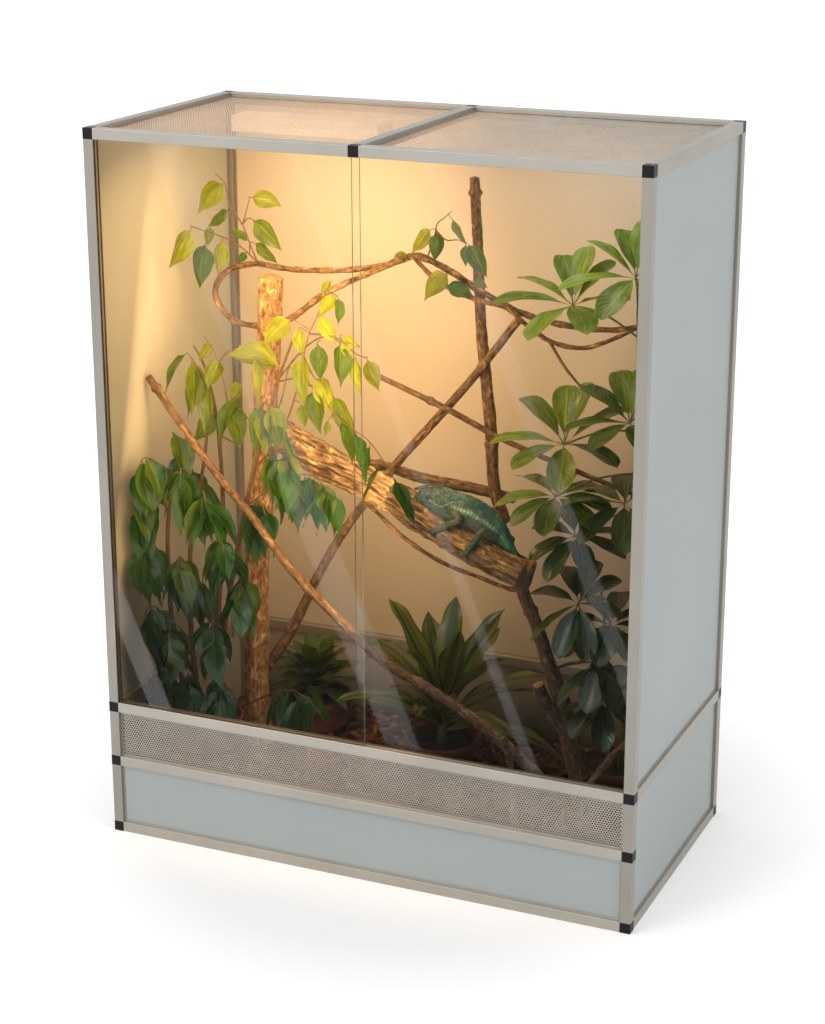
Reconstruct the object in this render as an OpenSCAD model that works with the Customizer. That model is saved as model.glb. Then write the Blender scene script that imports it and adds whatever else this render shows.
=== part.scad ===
// Tall planted terrarium for a climbing lizard: a plug-together frame of square aluminium tube,
// solid panels, perforated vents, two sliding glass doors, and the planting and climbing branches.
// Origin at the middle of the base, +X to the right, front towards -Y, +Z up. Millimetres.

/* [Cabinet] */
// Width over the frame
cabinet_w = 1060; // [1020:10:1200]
// Depth over the frame
cabinet_d = 540; // [520:10:640]
// Height over the frame
cabinet_h = 1372; // [1332:4:1500]
// Height of the solid front panel between its rails
front_panel_h = 120; // [100:2:140]
// Height of the perforated strip under the doors
vent_h = 92; // [70:2:110]

/* [Frame] */
// Width of the square tube
tube = 20; // [20:0.5:24]
// Wall of the tube
tube_wall = 1.5; // [1:0.1:2]
// Radius of the tube's edges
tube_edge_r = 1.2; // [0.6:0.1:1.4]
// Height of the two fins that hold a panel
fin_h = 4; // [3:0.5:6]
// Thickness of a fin
fin_t = 1.2; // [0.8:0.1:1.6]
// Length of a connector's spigot inside its tube
spigot_len = 30; // [20:1:45]
// Gap between a spigot and the tube round it
spigot_gap = 0.1; // [0.05:0.05:0.25]

/* [Panels] */
// Thickness of a solid panel
panel_t = 4; // [3:0.5:5]
// Depth of a panel behind the face of the tubes
panel_recess = 6; // [5:0.5:8]
// Thickness of a perforated sheet
sheet_t = 1; // [0.6:0.1:1.5]
// Depth of a perforated sheet behind the face of the tubes
sheet_recess = 8; // [6:0.5:10]
// Play of a panel or sheet between its fins
groove_play = 0.3; // [0.2:0.05:0.5]
// Gap from a panel's edge to the tube
edge_gap = 0.5; // [0.3:0.1:1]
// Hole in the vent strip under the doors
vent_hole_d = 9; // [6:0.5:11]
// Spacing of the vent strip's holes
vent_pitch = 17; // [15:0.5:22]
// Hole in the roof sheets
roof_hole_d = 18; // [12:1:20]
// Spacing of the roof sheets' holes
roof_pitch = 31; // [26:1:36]

/* [Doors] */
// Thickness of the door glass
glass_t = 4; // [3:0.5:5]
// Width of each door channel
channel_w = 5; // [4.5:0.1:6]
// Depth of the channels in the sill and the posts
channel_h = 5; // [4:0.5:6]
// Depth of the channels in the top rail, which let a door be lifted out
lift_channel_h = 10; // [9:0.5:11]
// Thickness of the rib between the two channels
channel_rib = 5.6; // [4:0.2:6]
// Overlap of the two doors at the middle
door_overlap = 20; // [14:1:30]
// Gap from a door's edges to the bottoms of its channels
door_gap = 1; // [0.5:0.1:1.5]
// Gap under a door
door_lift_gap = 0.3; // [0.3:0.1:0.6]

/* [Lamp] */
// Length of the heat lamp's housing
lamp_l = 300; // [200:10:400]
// Width of the housing
lamp_w = 64; // [50:2:90]
// Height of the housing
lamp_h = 30; // [24:1:40]
// Wall of the housing
lamp_wall = 2; // [1.5:0.5:3]
// Thickness of the diffuser that closes the housing below
diffuser_t = 3; // [2:0.5:5]

/* [Planting] */
// Depth of the bark on the floor panel
bark_depth = 103; // [90:1:115]
// Diameter over a pot's rim
pot_d = 150; // [130:2:160]
// Diameter of a pot at its foot
pot_foot_d = 112; // [90:2:120]
// Height of a pot
pot_h = 112; // [100:2:120]
// Wall of a pot
pot_wall = 3; // [2:0.5:5]
// Height of the pot's rolled rim
pot_rim_h = 16; // [10:1:24]
// Depth that a pot is sunk in the bark
pot_sink = 42; // [30:1:60]
// Depth of the soil below a pot's rim
soil_drop = 14; // [8:1:24]
// Diameter of the upright trunk in its middle
trunk_d = 50; // [40:1:56]
// Diameter of the log the lizard lies on
log_d = 62; // [50:1:66]
// Diameter of the long diagonal branch
diagonal_d = 18; // [14:1:24]
// Diameter of the twisted vines
vine_d = 12; // [9:0.5:14]
// Length of a fig leaf
fig_leaf_l = 90; // [70:2:100]
// Width of a fig leaf
fig_leaf_w = 42; // [32:1:46]
// Length of an umbrella plant's leaflet
umbrella_leaf_l = 146; // [120:2:160]
// Width of an umbrella plant's leaflet
umbrella_leaf_w = 52; // [40:1:56]
// Length of a strap leaf of the striped plant
strap_leaf_l = 320; // [260:5:330]
// Width of a strap leaf
strap_leaf_w = 54; // [40:1:60]
// Height of the lizard's body at its deepest
lizard_h = 64; // [54:1:70]

/* [Hidden] */
$fn = 32;

// Frame lines
post_x = cabinet_w/2 - tube/2;
post_y = cabinet_d/2 - tube/2;
opening_x = cabinet_w/2 - tube;
opening_y = cabinet_d/2 - tube;
bottom_z = tube/2;
vent_z = tube + front_panel_h + tube/2;
sill_z = vent_z + tube + vent_h;
top_z = cabinet_h - tube/2;
bore = tube - 2*tube_wall;
fin_end = fin_h + 0.2;

// Planes of the panels and sheets, as offsets from the middle of a tube towards the outside
panel_off = tube/2 - panel_recess - panel_t/2;
sheet_off = tube/2 - sheet_recess - sheet_t/2;
panel_groove = panel_t + groove_play;
sheet_groove = sheet_t + groove_play;
floor_top = bottom_z - panel_groove/2 + panel_t;
roof_sheet_z = top_z + sheet_off - sheet_groove/2;

// Middles of the two door channels, as offsets from the middle of the tube
front_channel = -(channel_rib + channel_w)/2;
back_channel = (channel_rib + channel_w)/2;
door_z0 = sill_z + tube/2 - channel_h + door_lift_gap;
door_z1 = top_z - tube/2 + channel_h;
door_edge = opening_x + channel_h - door_gap;

// Space for the planting
bark_top = floor_top + bark_depth;
inside_w = 2*opening_x;
inside_d = 2*opening_y;
ceiling = cabinet_h - tube;
wall_gap = 12;

aluminium = [0.63, 0.62, 0.59];
connector_black = [0.09, 0.09, 0.08];
panel_grey = [0.67, 0.71, 0.72];
glass_tint = [0.80, 0.90, 0.88, 0.25];
bark_brown = [0.42, 0.25, 0.16];
wood_brown = [0.55, 0.38, 0.24];
terracotta = [0.45, 0.16, 0.10];
soil_brown = [0.16, 0.11, 0.08];
fig_green = [0.30, 0.46, 0.12];
stem_brown = [0.40, 0.28, 0.16];

// Routes of the branches: x, y, z and diameter as a share of the branch's own
TRUNK = [[-330, -20, 105, 1.12], [-341, -20, 210, 1.02], [-338, -20, 339, 0.98], [-333, -20, 507, 0.96],
  [-316, -20, 673, 0.96], [-307, -20, 833, 0.95], [-299, -15, 951, 0.96], [-294, -10, 1069, 0.94]];
FORK = [[-335, -2, 264, 1.5], [-276, 8, 359, 1.25], [-215, 22, 489, 1.05], [-154, 34, 596, 1],
  [-57, 54, 727, 0.95], [1, 64, 797, 0.95], [77, 76, 890, 0.92], [167, 87, 1012, 0.9]];
LOG = [[-278, -44, 780, 0.96], [-205, -46, 749, 1.04], [-158, -46, 729, 1], [-52, -50, 694, 0.98],
  [52, -55, 646, 0.96], [154, -60, 603, 0.93], [240, -65, 572, 0.9]];
DIAGONAL = [[-511, -106, 879, 0.85], [-438, -115, 794, 0.85], [-367, -124, 716, 0.88],
  [-283, -135, 640, 0.9], [-195, -146, 547, 0.92], [-107, -157, 479, 0.95], [1, -171, 405, 1],
  [108, -185, 368, 1.05], [213, -198, 322, 1.15], [296, -209, 272, 1.2], [390, -222, 205, 1.2],
  [478, -232, 126, 1.15]];
CROSS = [[-137, 68, 704, 0.8], [-93, 78, 698, 0.9], [-32, 92, 680, 1], [64, 112, 666, 1],
  [136, 122, 654, 0.95], [148, 123, 653, 0.95]];
UPRIGHT = [[71, 100, 1264, 0.8], [79, 100, 1132, 0.85], [87, 100, 981, 0.9], [106, 100, 809, 1],
  [114, 100, 691, 1], [126, 100, 643, 1.05], [139, 100, 611, 1]];
SUPPORT = [[366, -62, 105, 1.15], [355, -60, 190, 1.05], [334, -60, 268, 1], [317, -60, 335, 0.82],
  [292, -60, 401, 0.72], [266, -62, 477, 0.64], [240, -65, 538, 0.62], [248, -68, 568, 0.55],
  [261, -70, 600, 0.4]];
SUPPORT_FORK = [[332, -62, 275, 0.8], [296, -80, 330, 0.66], [282, -92, 372, 0.55]];
SLANT = [[-97, 30, 892, 0.9], [35, 48, 838, 1], [104, 80, 794, 1], [173, 92, 764, 0.95],
  [356, 120, 700, 0.8], [517, 146, 652, 0.7]];
VINE_LOOP = [[-308, -4, 974, 1], [-387, 20, 970, 1], [-432, 32, 1002, 1.05], [-439, 40, 1033, 1.05],
  [-413, 46, 1064, 1], [-356, 48, 1080, 0.95], [-281, 48, 1076, 0.95], [-177, 50, 1082, 0.95],
  [-84, 50, 1100, 0.95], [-30, 50, 1121, 1]];
VINE_UPPER = [[-290, -6, 984, 1], [-263, 8, 991, 1], [-205, 20, 1036, 1.1], [-158, 30, 1063, 1.05],
  [-90, 40, 1095, 1], [-30, 50, 1121, 1.1], [20, 66, 1103, 1.1], [83, 82, 1064, 1.1],
  [144, 80, 1036, 1.05], [209, 90, 1014, 1], [285, 95, 1005, 1], [343, 95, 1006, 0.95],
  [396, 90, 1018, 0.9], [517, 76, 1044, 0.8]];
VINE_LOWER = [[-29, 48, 1121, 0.8], [16, 52, 1079, 0.8], [82, 60, 1050, 0.8], [149, 68, 1035, 0.8],
  [187, 72, 1006, 0.8], [235, 76, 978, 0.8], [291, 80, 971, 0.75], [338, 84, 986, 0.7],
  [396, 88, 1017, 0.65]];
VINE_SPUR = [[231, 76, 980, 0.6], [262, 66, 940, 0.5], [300, 56, 905, 0.4]];
VINE_UNDER = [[-118, -36, 700, 0.7], [-109, -8, 659, 0.7], [-27, -16, 598, 0.7], [60, -25, 559, 0.7],
  [148, -44, 546, 0.7], [205, -60, 540, 0.7], [236, -66, 541, 0.7]];
STICK_A = [[262, -215, 312, 1], [280, -220, 257, 1], [290, -228, 172, 1], [294, -232, 108, 1]];
STICK_B = [[505, -142, 344, 0.9], [457, -170, 294, 1], [423, -190, 244, 1], [372, -212, 160, 1],
  [350, -222, 108, 1]];
bark_chips = 17;
// The space that the routes are drawn in, from the routes themselves: the longest branches run in
// between the tubes at the sides, the foremost stays behind the front tubes, the trunk is rooted in
// the bark, and the tall stick ends below the roof
ROUTES = [TRUNK, FORK, LOG, DIAGONAL, CROSS, UPRIGHT, SUPPORT, SLANT, VINE_LOOP, VINE_UPPER,
  VINE_LOWER, VINE_SPUR, VINE_UNDER, STICK_A, STICK_B];
end_run_in = 7;
front_room = 18;
root_depth = 10;
head_room = 88;
function furthest(k) = max([for (r = ROUTES) for (q = r) abs(q[k])]);
layout_w = 2*(furthest(0) - end_run_in);
layout_d = 2*(furthest(1) + front_room);
layout_floor = TRUNK[0][2] + root_depth;
layout_ceiling = furthest(2) + head_room;
fork_d = 18;
cross_d = 22;
upright_d = 24;
support_d = 40;
slant_d = 12;
short_stick_d = 13;

// Middles of the four pots: fig, striped plant, umbrella plant, shade plant
POTS = [[-428, -70], [45, 15], [395, 40], [-275, 112]];
striped_pot = 1;
shade_pot = 3;
pot_z = bark_top - pot_sink;
soil_z = pot_z + pot_h - soil_drop;
// Hearts of the two rosettes, from the middle of their soil
strap_heart = [-5, 15, 72];
shade_heart = [0, 0, 66];

// Fig stems out of the pot, with their diameters
FIG_STEMS = [
  [[-436, -76, 165, 12], [-446, -90, 350, 11], [-436, -100, 540, 9], [-410, -88, 700, 7],
   [-398, -80, 800, 5]],
  [[-418, -62, 165, 12], [-402, -58, 400, 11], [-386, -56, 600, 9], [-392, -56, 780, 7],
   [-411, -62, 891, 5], [-440, -55, 935, 3]],
  [[-408, -84, 165, 12], [-372, -92, 380, 11], [-322, -102, 600, 9], [-278, -108, 760, 8],
   [-240, -92, 900, 6], [-215, -75, 980, 4]],
  [[-446, -96, 165, 11], [-468, -120, 360, 10], [-470, -128, 560, 8], [-456, -122, 700, 6]]
];
// Leafy twigs of the fig: the stem or vine that carries it, how far along that, its own points,
// and the number of its leaves
FIG_TWIGS = [
  [3, 1, [[-468, -150, 722], [-484, -178, 742], [-492, -190, 722]], 6],
  [0, 0.7, [[-420, -140, 712], [-405, -180, 728], [-398, -196, 700]], 7],
  [3, 0.8, [[-484, -160, 660], [-492, -186, 668], [-494, -200, 640]], 5],
  [2, 0.36, [[-372, -150, 668], [-352, -190, 690], [-340, -202, 664]], 7],
  [3, 0.55, [[-480, -160, 560], [-490, -190, 566], [-490, -202, 540]], 6],
  [0, 0.44, [[-428, -150, 540], [-412, -190, 552], [-404, -204, 526]], 7],
  [2, 0.3, [[-346, -150, 590], [-322, -184, 604], [-308, -200, 578]], 6],
  [3, 0.35, [[-478, -160, 432], [-486, -188, 440], [-490, -204, 412]], 5],
  [0, 0.24, [[-446, -150, 400], [-436, -190, 408], [-432, -206, 380]], 7],
  [2, 0.16, [[-366, -150, 420], [-346, -184, 432], [-334, -202, 402]], 6],
  [3, 0.12, [[-474, -140, 300], [-486, -176, 306], [-490, -200, 284]], 5],
  [0, 0.1, [[-420, -150, 300], [-400, -186, 308], [-386, -204, 284]], 6],
  [2, 0.08, [[-366, -130, 300], [-340, -170, 312], [-326, -196, 290]], 5],
  [2, 0.24, [[-320, -120, 500], [-300, -150, 512], [-296, -170, 486]], 5],
  [1, 0.35, [[-440, -40, 640], [-470, -30, 680], [-490, -30, 670]], 4],
  [1, 0.15, [[-450, -20, 420], [-480, -10, 450], [-494, -10, 430]], 4],
  [3, 0.03, [[-470, -150, 240], [-486, -190, 248], [-492, -206, 236]], 4],
  [1, 0.6, [[-402, -70, 850], [-422, -80, 905], [-440, -80, 926]], 4],
  [1, 0.44, [[-366, -90, 760], [-340, -100, 846], [-312, -104, 862]], 6],
  [1, 0.36, [[-430, -80, 680], [-448, -100, 756], [-462, -110, 776]], 5],
  [1, 0.78, [[-380, -80, 905], [-340, -92, 945], [-290, -96, 940]], 4],
  [2, 0.6, [[-236, -100, 850], [-214, -98, 930], [-184, -100, 958]], 6],
  [2, 0.8, [[-192, -80, 960], [-142, -84, 988], [-94, -92, 968]], 7],
  [2, 0.79, [[-186, -90, 900], [-112, -98, 836], [-52, -98, 800], [-4, -98, 736]], 10],
  [2, 0.45, [[-222, -118, 712], [-162, -122, 730], [-122, -124, 700]], 7],
  [2, 0.35, [[-302, -112, 620], [-280, -110, 662], [-262, -106, 640]], 4],
  [2, 0.55, [[-250, -130, 760], [-205, -150, 776], [-176, -160, 748]], 6],
  [2, 0.7, [[-262, -130, 850], [-236, -150, 868], [-214, -160, 836]], 5],
  [2, 0.03, [[-250, -140, 282], [-186, -176, 316], [-140, -190, 312]], 5],
  [4, 0.67, [[-334, 22, 1132], [-372, 16, 1192], [-400, 10, 1228]], 6],
  [4, 0.66, [[-290, 15, 1112], [-292, 12, 1162], [-280, 10, 1214]], 5],
  [4, 0.55, [[-402, 14, 1130], [-446, 4, 1142], [-466, 0, 1150]], 6],
  [5, 0.37, [[0, 40, 1150], [18, 35, 1180]], 4],
  [5, 0.5, [[74, 55, 1130], [70, 50, 1182]], 4]
];
fig_twig_d = 4;

// Umbrella plant: stems out of the pot, then the hubs of its leaf wheels,
UMBRELLA_STEMS = [
  [[400, 46, 165, 13], [412, 60, 420, 11], [420, 62, 700, 9], [414, 50, 900, 7], [410, 40, 1062, 5]],
  [[384, 34, 165, 11], [380, 20, 340, 9], [376, -4, 500, 6], [372, -20, 560, 5]]
];
// how far each wheel tips towards the front and cups upwards, in degrees, and its share of the size
UMBRELLA_HUBS = [[295, 20, 1062, 34, 24, 1.04], [408, 30, 1120, 34, 28, 1], [287, 10, 806, 34, 24, 1],
  [408, 20, 856, 34, 26, 0.95], [280, -10, 712, 16, 0, 0.85], [410, -4, 712, 16, 0, 0.85],
  [320, -10, 640, 20, 0, 0.75], [346, -60, 530, 48, 0, 0.78], [400, -36, 488, 34, 0, 0.72],
  [398, -90, 432, 44, 0, 0.72], [398, -66, 352, 40, 0, 0.72]];
// Where each hub's stalk leaves its stem: stem and height share
UMBRELLA_JOINS = [[0, 0.9], [0, 1], [0, 0.66], [0, 0.72], [0, 0.56], [0, 0.6], [0, 0.48], [1, 0.98],
  [1, 0.8], [1, 0.62], [1, 0.4]];
umbrella_leaflets = 8;
umbrella_stalk_d = 4;
strap_leaves = 20;
strap_front = 150; // the leaves stay behind the diagonal branch
shade_leaves = 20;
shade_leaf_l = 145;
shade_leaf_w = 32;
shade_front = 150;
leaf_t = 1;
blade_fold = 0.1;
golden_turn = 137.5;
buds = 8;

// Widths of a leaf at even steps along it, as shares of its width
fig_shape = [1];
strap_shape = [0.8, 1, 0.75];
umbrella_shape = [0.68, 1];

// Middle of the heat lamp, behind the top rail
lamp_at = [-opening_x/2 + 15, 60];

// Maths

// Moves a point of the layout into the cabinet's own space
function fit(p) = [
  p[0]*inside_w/layout_w,
  p[1]*inside_d/layout_d,
  bark_top + (p[2] - layout_floor)*(ceiling - bark_top)/(layout_ceiling - layout_floor)
];
function unit(v) = v/norm(v);
// A repeatable scatter from 0 to 1
function scatter(a, b) = let(s = sin(a*127.1 + b*311.7)*437.585) s - floor(s);
// A point of a smooth curve through the points p, at t along the stretch that starts at point i
function curve_at(p, i, t) =
  let(a = p[max(i - 1, 0)], b = p[i], c = p[i + 1], d = p[min(i + 2, len(p) - 1)])
  0.5*(2*b + (c - a)*t + (2*a - 5*b + 4*c - d)*t*t + (3*b - a - 3*c + d)*t*t*t);
function smooth(p, steps) = concat(
  [for (i = [0 : len(p) - 2]) for (k = [0 : steps - 1]) curve_at(p, i, k/steps)],
  [p[len(p) - 1]]
);
// A point at the share s of a whole route
function along(p, s) =
  let(n = len(p) - 1, i = min(floor(s*n), n - 1)) curve_at(p, i, s*n - i);
// A route in the cabinet's space, each point with its radius
function route(p, d) = [for (q = p) concat(fit(q), [d*(len(q) > 3 ? q[3] : 1)/2])];
function centre(q) = [q[0], q[1], q[2]];
function tangent(c, i) =
  unit(centre(c[min(i + 1, len(c) - 1)]) - centre(c[max(i - 1, 0)]));
// Sideways directions along a run, carried from ring to ring so that the skin doesn't twist
function carry(c, i, u) = i == len(c) ? [] :
  let(t = tangent(c, i), w = unit(u - (u*t)*t)) concat([w], carry(c, i + 1, w));
function sideways(c) = let(t = tangent(c, 0))
  carry(c, 0, cross(abs(t[1]) < 0.8 ? [0, 1, 0] : [1, 0, 0], t));
// One ring round point i, square to its run and uneven by the share knob
function ring(c, i, u, sides, knob, grow) =
  let(v = cross(tangent(c, i), u))
  [for (k = [0 : sides - 1])
    let(a = 360*k/sides, r = (c[i][3] + grow)*(1 + knob*(scatter(i, k) - 0.5)))
    centre(c[i]) + r*(cos(a)*u + sin(a)*v)];

// Faces of a skin over count rings with this many sides, closed at both ends
function skin_faces(count, sides) = concat(
  [[for (k = [0 : sides - 1]) k]],
  [for (i = [0 : count - 2]) for (k = [0 : sides - 1]) let(n = (k + 1)%sides)
    each [[i*sides + k, (i + 1)*sides + k, i*sides + n],
      [i*sides + n, (i + 1)*sides + k, (i + 1)*sides + n]]],
  [[for (k = [sides - 1 : -1 : 0]) (count - 1)*sides + k]]
);
module skin(rings) {
  polyhedron([for (r = rings) each r], skin_faces(len(rings), len(rings[0])), convexity = 6);
}
// A branch along a route whose points carry their radius
module branch(p, steps, sides, knob = 0.12, grow = 0) {
  c = smooth(p, steps);
  u = sideways(c);
  skin([for (i = [0 : len(c) - 1]) ring(c, i, u[i], sides, knob, grow)]);
}

// A leaf as one closed blade: base point, heading and fall in degrees, roll about its rib,
// length, width, the shares of the width at even steps along it, and how far its tip hangs
function blade_run(h, fall, l, droop, s) =
  l*[cos(h)*cos(fall), sin(h)*cos(fall), -sin(fall)] - [0, 0, 2*droop*l*s];
function blade_rib(b, h, fall, l, droop, s) =
  b + s*blade_run(h, fall, l, droop, s/2);
function blade_points(b, h, fall, roll, l, w, shape, droop) =
  let(
    n = len(shape),
    level = [-sin(h), cos(h), 0],
    side = level*cos(roll) + cross(unit(blade_run(h, fall, l, droop, 0)), level)*sin(roll)
  )
  concat(
    [b],
    [for (i = [0 : n - 1])
      let(
        s = (i + 1)/(n + 1),
        m = blade_rib(b, h, fall, l, droop, s),
        up = unit(cross(blade_run(h, fall, l, droop, s), side))
      )
      each [m + side*w*shape[i]/2 + up*w*blade_fold, m - side*w*shape[i]/2 + up*w*blade_fold,
        m + up*leaf_t/2, m - up*leaf_t/2]],
    [blade_rib(b, h, fall, l, droop, 1)]
  );
function blade_faces(n) = concat(
  [[0, 1, 3], [0, 3, 2], [0, 4, 1], [0, 2, 4]],
  [for (i = [0 : n - 2]) let(a = 1 + 4*i, c = a + 4)
    each [[a, c, a + 2], [a + 2, c, c + 2], [a + 2, c + 2, a + 1], [a + 1, c + 2, c + 1],
      [a, a + 3, c], [a + 3, c + 3, c], [a + 3, a + 1, c + 3], [a + 1, c + 1, c + 3]]],
  let(a = 4*n - 3, tip = 4*n + 1)
  [[a, tip, a + 2], [a + 2, tip, a + 1], [a, a + 3, tip], [a + 3, a + 1, tip]]
);
module blade(b, h, fall, roll, l, w, shape, droop = 0.1) {
  polyhedron(blade_points(b, h, fall, roll, l, w, shape, droop), blade_faces(len(shape)));
}
// A leaf that would reach the glass or a side wall turns back into the cabinet
function clear_heading(b, h, reach) =
  let(
    x = b[0] + reach*cos(h),
    h1 = abs(x) > inside_w/2 - wall_gap ? 180 - h : h,
    y = b[1] + reach*sin(h1)
  )
  abs(y) > inside_d/2 - wall_gap ? -h1 : h1;

// Frame

// Square with round corners, from straight and round parts
module rounded_square(s, r) {
  square([s - 2*r, s], center = true);
  square([s, s - 2*r], center = true);
  for (x = [-1, 1], y = [-1, 1]) translate([x, y]*(s/2 - r)) circle(r, $fn = 24);
}
// Two fins on one face of a tube. face is [1, 0] or the like, off the groove's place across it
module fins(face, off, gap) {
  reach = fin_h + tube_wall;
  across = [abs(face[1]), abs(face[0])];
  for (s = [-1, 1])
    translate(face*(tube/2 + (fin_h - tube_wall)/2) + across*(off + s*(gap + fin_t)/2))
      square([abs(face[0])*reach + across[0]*fin_t, abs(face[1])*reach + across[1]*fin_t], center = true);
}
module tube_section() {
  difference() {
    rounded_square(tube, tube_edge_r);
    square(bore, center = true);
  }
}
// Tube with the two door channels, open on the face [0, 1] or [0, -1] or [-1, 0] or [1, 0]
module channel_section(face, depth) {
  across = [abs(face[1]), abs(face[0])];
  difference() {
    rounded_square(tube, tube_edge_r);
    translate(-face*(depth)/2)
      square([bore - abs(face[0])*depth, bore - abs(face[1])*depth], center = true);
    for (c = [front_channel, back_channel])
      translate(face*(tube/2 - depth/2 + 0.5) + across*c)
        square([abs(face[0])*(depth + 1) + across[0]*channel_w,
          abs(face[1])*(depth + 1) + across[1]*channel_w], center = true);
  }
}
// Extrusions along each axis: the section's first axis is Y for along_x, and X for the others
module along_x(x0, x1, y, z) {
  translate([x0, y, z]) rotate([90, 0, 90]) linear_extrude(x1 - x0) children();
}
module along_y(y0, y1, x, z) {
  translate([x, y1, z]) rotate([90, 0, 0]) linear_extrude(y1 - y0) children();
}
module along_z(z0, z1, x, y) {
  translate([x, y, z0]) linear_extrude(z1 - z0) children();
}
module rail_x(x0, x1, y, z) {
  color(aluminium) {
    along_x(x0, x1, y, z) tube_section();
    along_x(x0 + fin_end, x1 - fin_end, y, z) children();
  }
}
module rail_y(x, z) {
  color(aluminium) {
    along_y(-opening_y, opening_y, x, z) tube_section();
    along_y(-opening_y + fin_end, opening_y - fin_end, x, z) children();
  }
}
module post(z0, z1, x, y) {
  color(aluminium) along_z(z0, z1, x, y) {
    tube_section();
    children();
  }
}

module front_bottom_rail() {
  rail_x(-opening_x, opening_x, -post_y, bottom_z) {
    fins([0, 1], -panel_off, panel_groove);
    fins([1, 0], 0, panel_groove);
  }
}
module back_bottom_rail() {
  rail_x(-opening_x, opening_x, post_y, bottom_z) {
    fins([0, 1], panel_off, panel_groove);
    fins([-1, 0], 0, panel_groove);
  }
}
module side_bottom_rails() {
  for (s = [-1, 1]) rail_y(s*post_x, bottom_z) {
    side_fins([0, 1], s);
    fins([-s, 0], 0, panel_groove);
  }
}
// Fins for a side panel, along the rails and posts of the side s
module side_fins(face, s) {
  fins(face, s*panel_off, panel_groove);
}
module front_vent_rail() {
  rail_x(-opening_x, opening_x, -post_y, vent_z) {
    fins([0, -1], -panel_off, panel_groove);
    fins([0, 1], -sheet_off, sheet_groove);
  }
}
module door_sill_rail() {
  color(aluminium) {
    along_x(-opening_x, opening_x, -post_y, sill_z) channel_section([0, 1], channel_h);
    along_x(-opening_x + fin_end, opening_x - fin_end, -post_y, sill_z)
      fins([0, -1], -sheet_off, sheet_groove);
  }
}
module side_middle_rails() {
  for (s = [-1, 1]) rail_y(s*post_x, sill_z) {
    side_fins([0, 1], s);
    side_fins([0, -1], s);
  }
}
module back_middle_rail() {
  rail_x(-opening_x, opening_x, post_y, sill_z) {
    fins([0, 1], panel_off, panel_groove);
    fins([0, -1], panel_off, panel_groove);
  }
}
module front_top_rails() {
  for (s = [-1, 1]) {
    x0 = s < 0 ? -opening_x : tube/2;
    x1 = s < 0 ? -tube/2 : opening_x;
    color(aluminium) {
      along_x(x0, x1, -post_y, top_z) channel_section([0, -1], lift_channel_h);
      along_x(x0 + fin_end, x1 - fin_end, -post_y, top_z) fins([1, 0], sheet_off, sheet_groove);
    }
  }
}
module back_top_rails() {
  for (s = [-1, 1])
    rail_x(s < 0 ? -opening_x : tube/2, s < 0 ? -tube/2 : opening_x, post_y, top_z) {
      fins([0, -1], panel_off, panel_groove);
      fins([-1, 0], sheet_off, sheet_groove);
    }
}
module side_top_rails() {
  for (s = [-1, 1]) rail_y(s*post_x, top_z) {
    side_fins([0, -1], s);
    fins([-s, 0], sheet_off, sheet_groove);
  }
}
module roof_crossbar() {
  rail_y(0, top_z) for (s = [-1, 1]) fins([s, 0], sheet_off, sheet_groove);
}
module front_lower_posts() {
  for (s = [-1, 1]) post(tube, vent_z - tube/2, s*post_x, -post_y) {
    side_fins([0, 1], s);
    fins([-s, 0], -panel_off, panel_groove);
  }
}
module front_middle_posts() {
  for (s = [-1, 1]) post(vent_z + tube/2, sill_z - tube/2, s*post_x, -post_y) {
    side_fins([0, 1], s);
    fins([-s, 0], -sheet_off, sheet_groove);
  }
}
module door_post(s) {
  color(aluminium) along_z(sill_z + tube/2, top_z - tube/2, s*post_x, -post_y) {
    channel_section([-s, 0], channel_h);
    side_fins([0, 1], s);
  }
}
module front_left_post() {
  door_post(-1);
}
module front_right_post() {
  door_post(1);
}
module back_post(s, z0, z1) {
  post(z0, z1, s*post_x, post_y) {
    side_fins([0, -1], s);
    fins([-s, 0], panel_off, panel_groove);
  }
}
module back_lower_posts() {
  for (s = [-1, 1]) back_post(s, tube, sill_z - tube/2);
}
module back_left_post() {
  back_post(-1, sill_z + tube/2, top_z - tube/2);
}
module back_right_post() {
  back_post(1, sill_z + tube/2, top_z - tube/2);
}

// Connectors

// Spigot out of a connector. side and depth say where the tube's door channels leave less room
module spigot(dir, side = [0, 0, 0], depth = 0) {
  width = bore - 2*spigot_gap;
  size = [for (i = [0 : 2]) dir[i] != 0 ? spigot_len + 1 : width - abs(side[i])*depth];
  translate(dir*(tube/2 + (spigot_len - 1)/2) - side*depth/2) cube(size, center = true);
}
module connector(at) {
  color(connector_black) translate(at) {
    cube(tube, center = true);
    children();
  }
}
// The ends of the door channels that run on into a connector of the side s
module channel_ends(s, z, depth) {
  for (c = [front_channel, back_channel])
    translate([-s*(tube/2 - channel_h/2 + 0.5), c, z*(tube/2 - depth/2 + 0.5)])
      cube([channel_h + 1, channel_w, depth + 1], center = true);
}
module bottom_connectors() {
  for (s = [-1, 1], f = [-1, 1]) connector([s*post_x, f*post_y, bottom_z]) {
    spigot([-s, 0, 0]);
    spigot([0, -f, 0]);
    spigot([0, 0, 1]);
  }
}
module vent_connectors() {
  for (s = [-1, 1]) connector([s*post_x, -post_y, vent_z]) {
    spigot([-s, 0, 0]);
    spigot([0, 0, 1]);
    spigot([0, 0, -1]);
  }
}
module middle_connectors() {
  for (s = [-1, 1]) {
    difference() {
      connector([s*post_x, -post_y, sill_z]) {
        spigot([-s, 0, 0], [0, 0, 1], channel_h);
        spigot([0, 1, 0]);
        spigot([0, 0, 1], [-s, 0, 0], channel_h);
        spigot([0, 0, -1]);
      }
      translate([s*post_x, -post_y, sill_z]) channel_ends(s, 1, channel_h);
    }
    connector([s*post_x, post_y, sill_z]) {
      spigot([-s, 0, 0]);
      spigot([0, -1, 0]);
      spigot([0, 0, 1]);
      spigot([0, 0, -1]);
    }
  }
}
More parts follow.
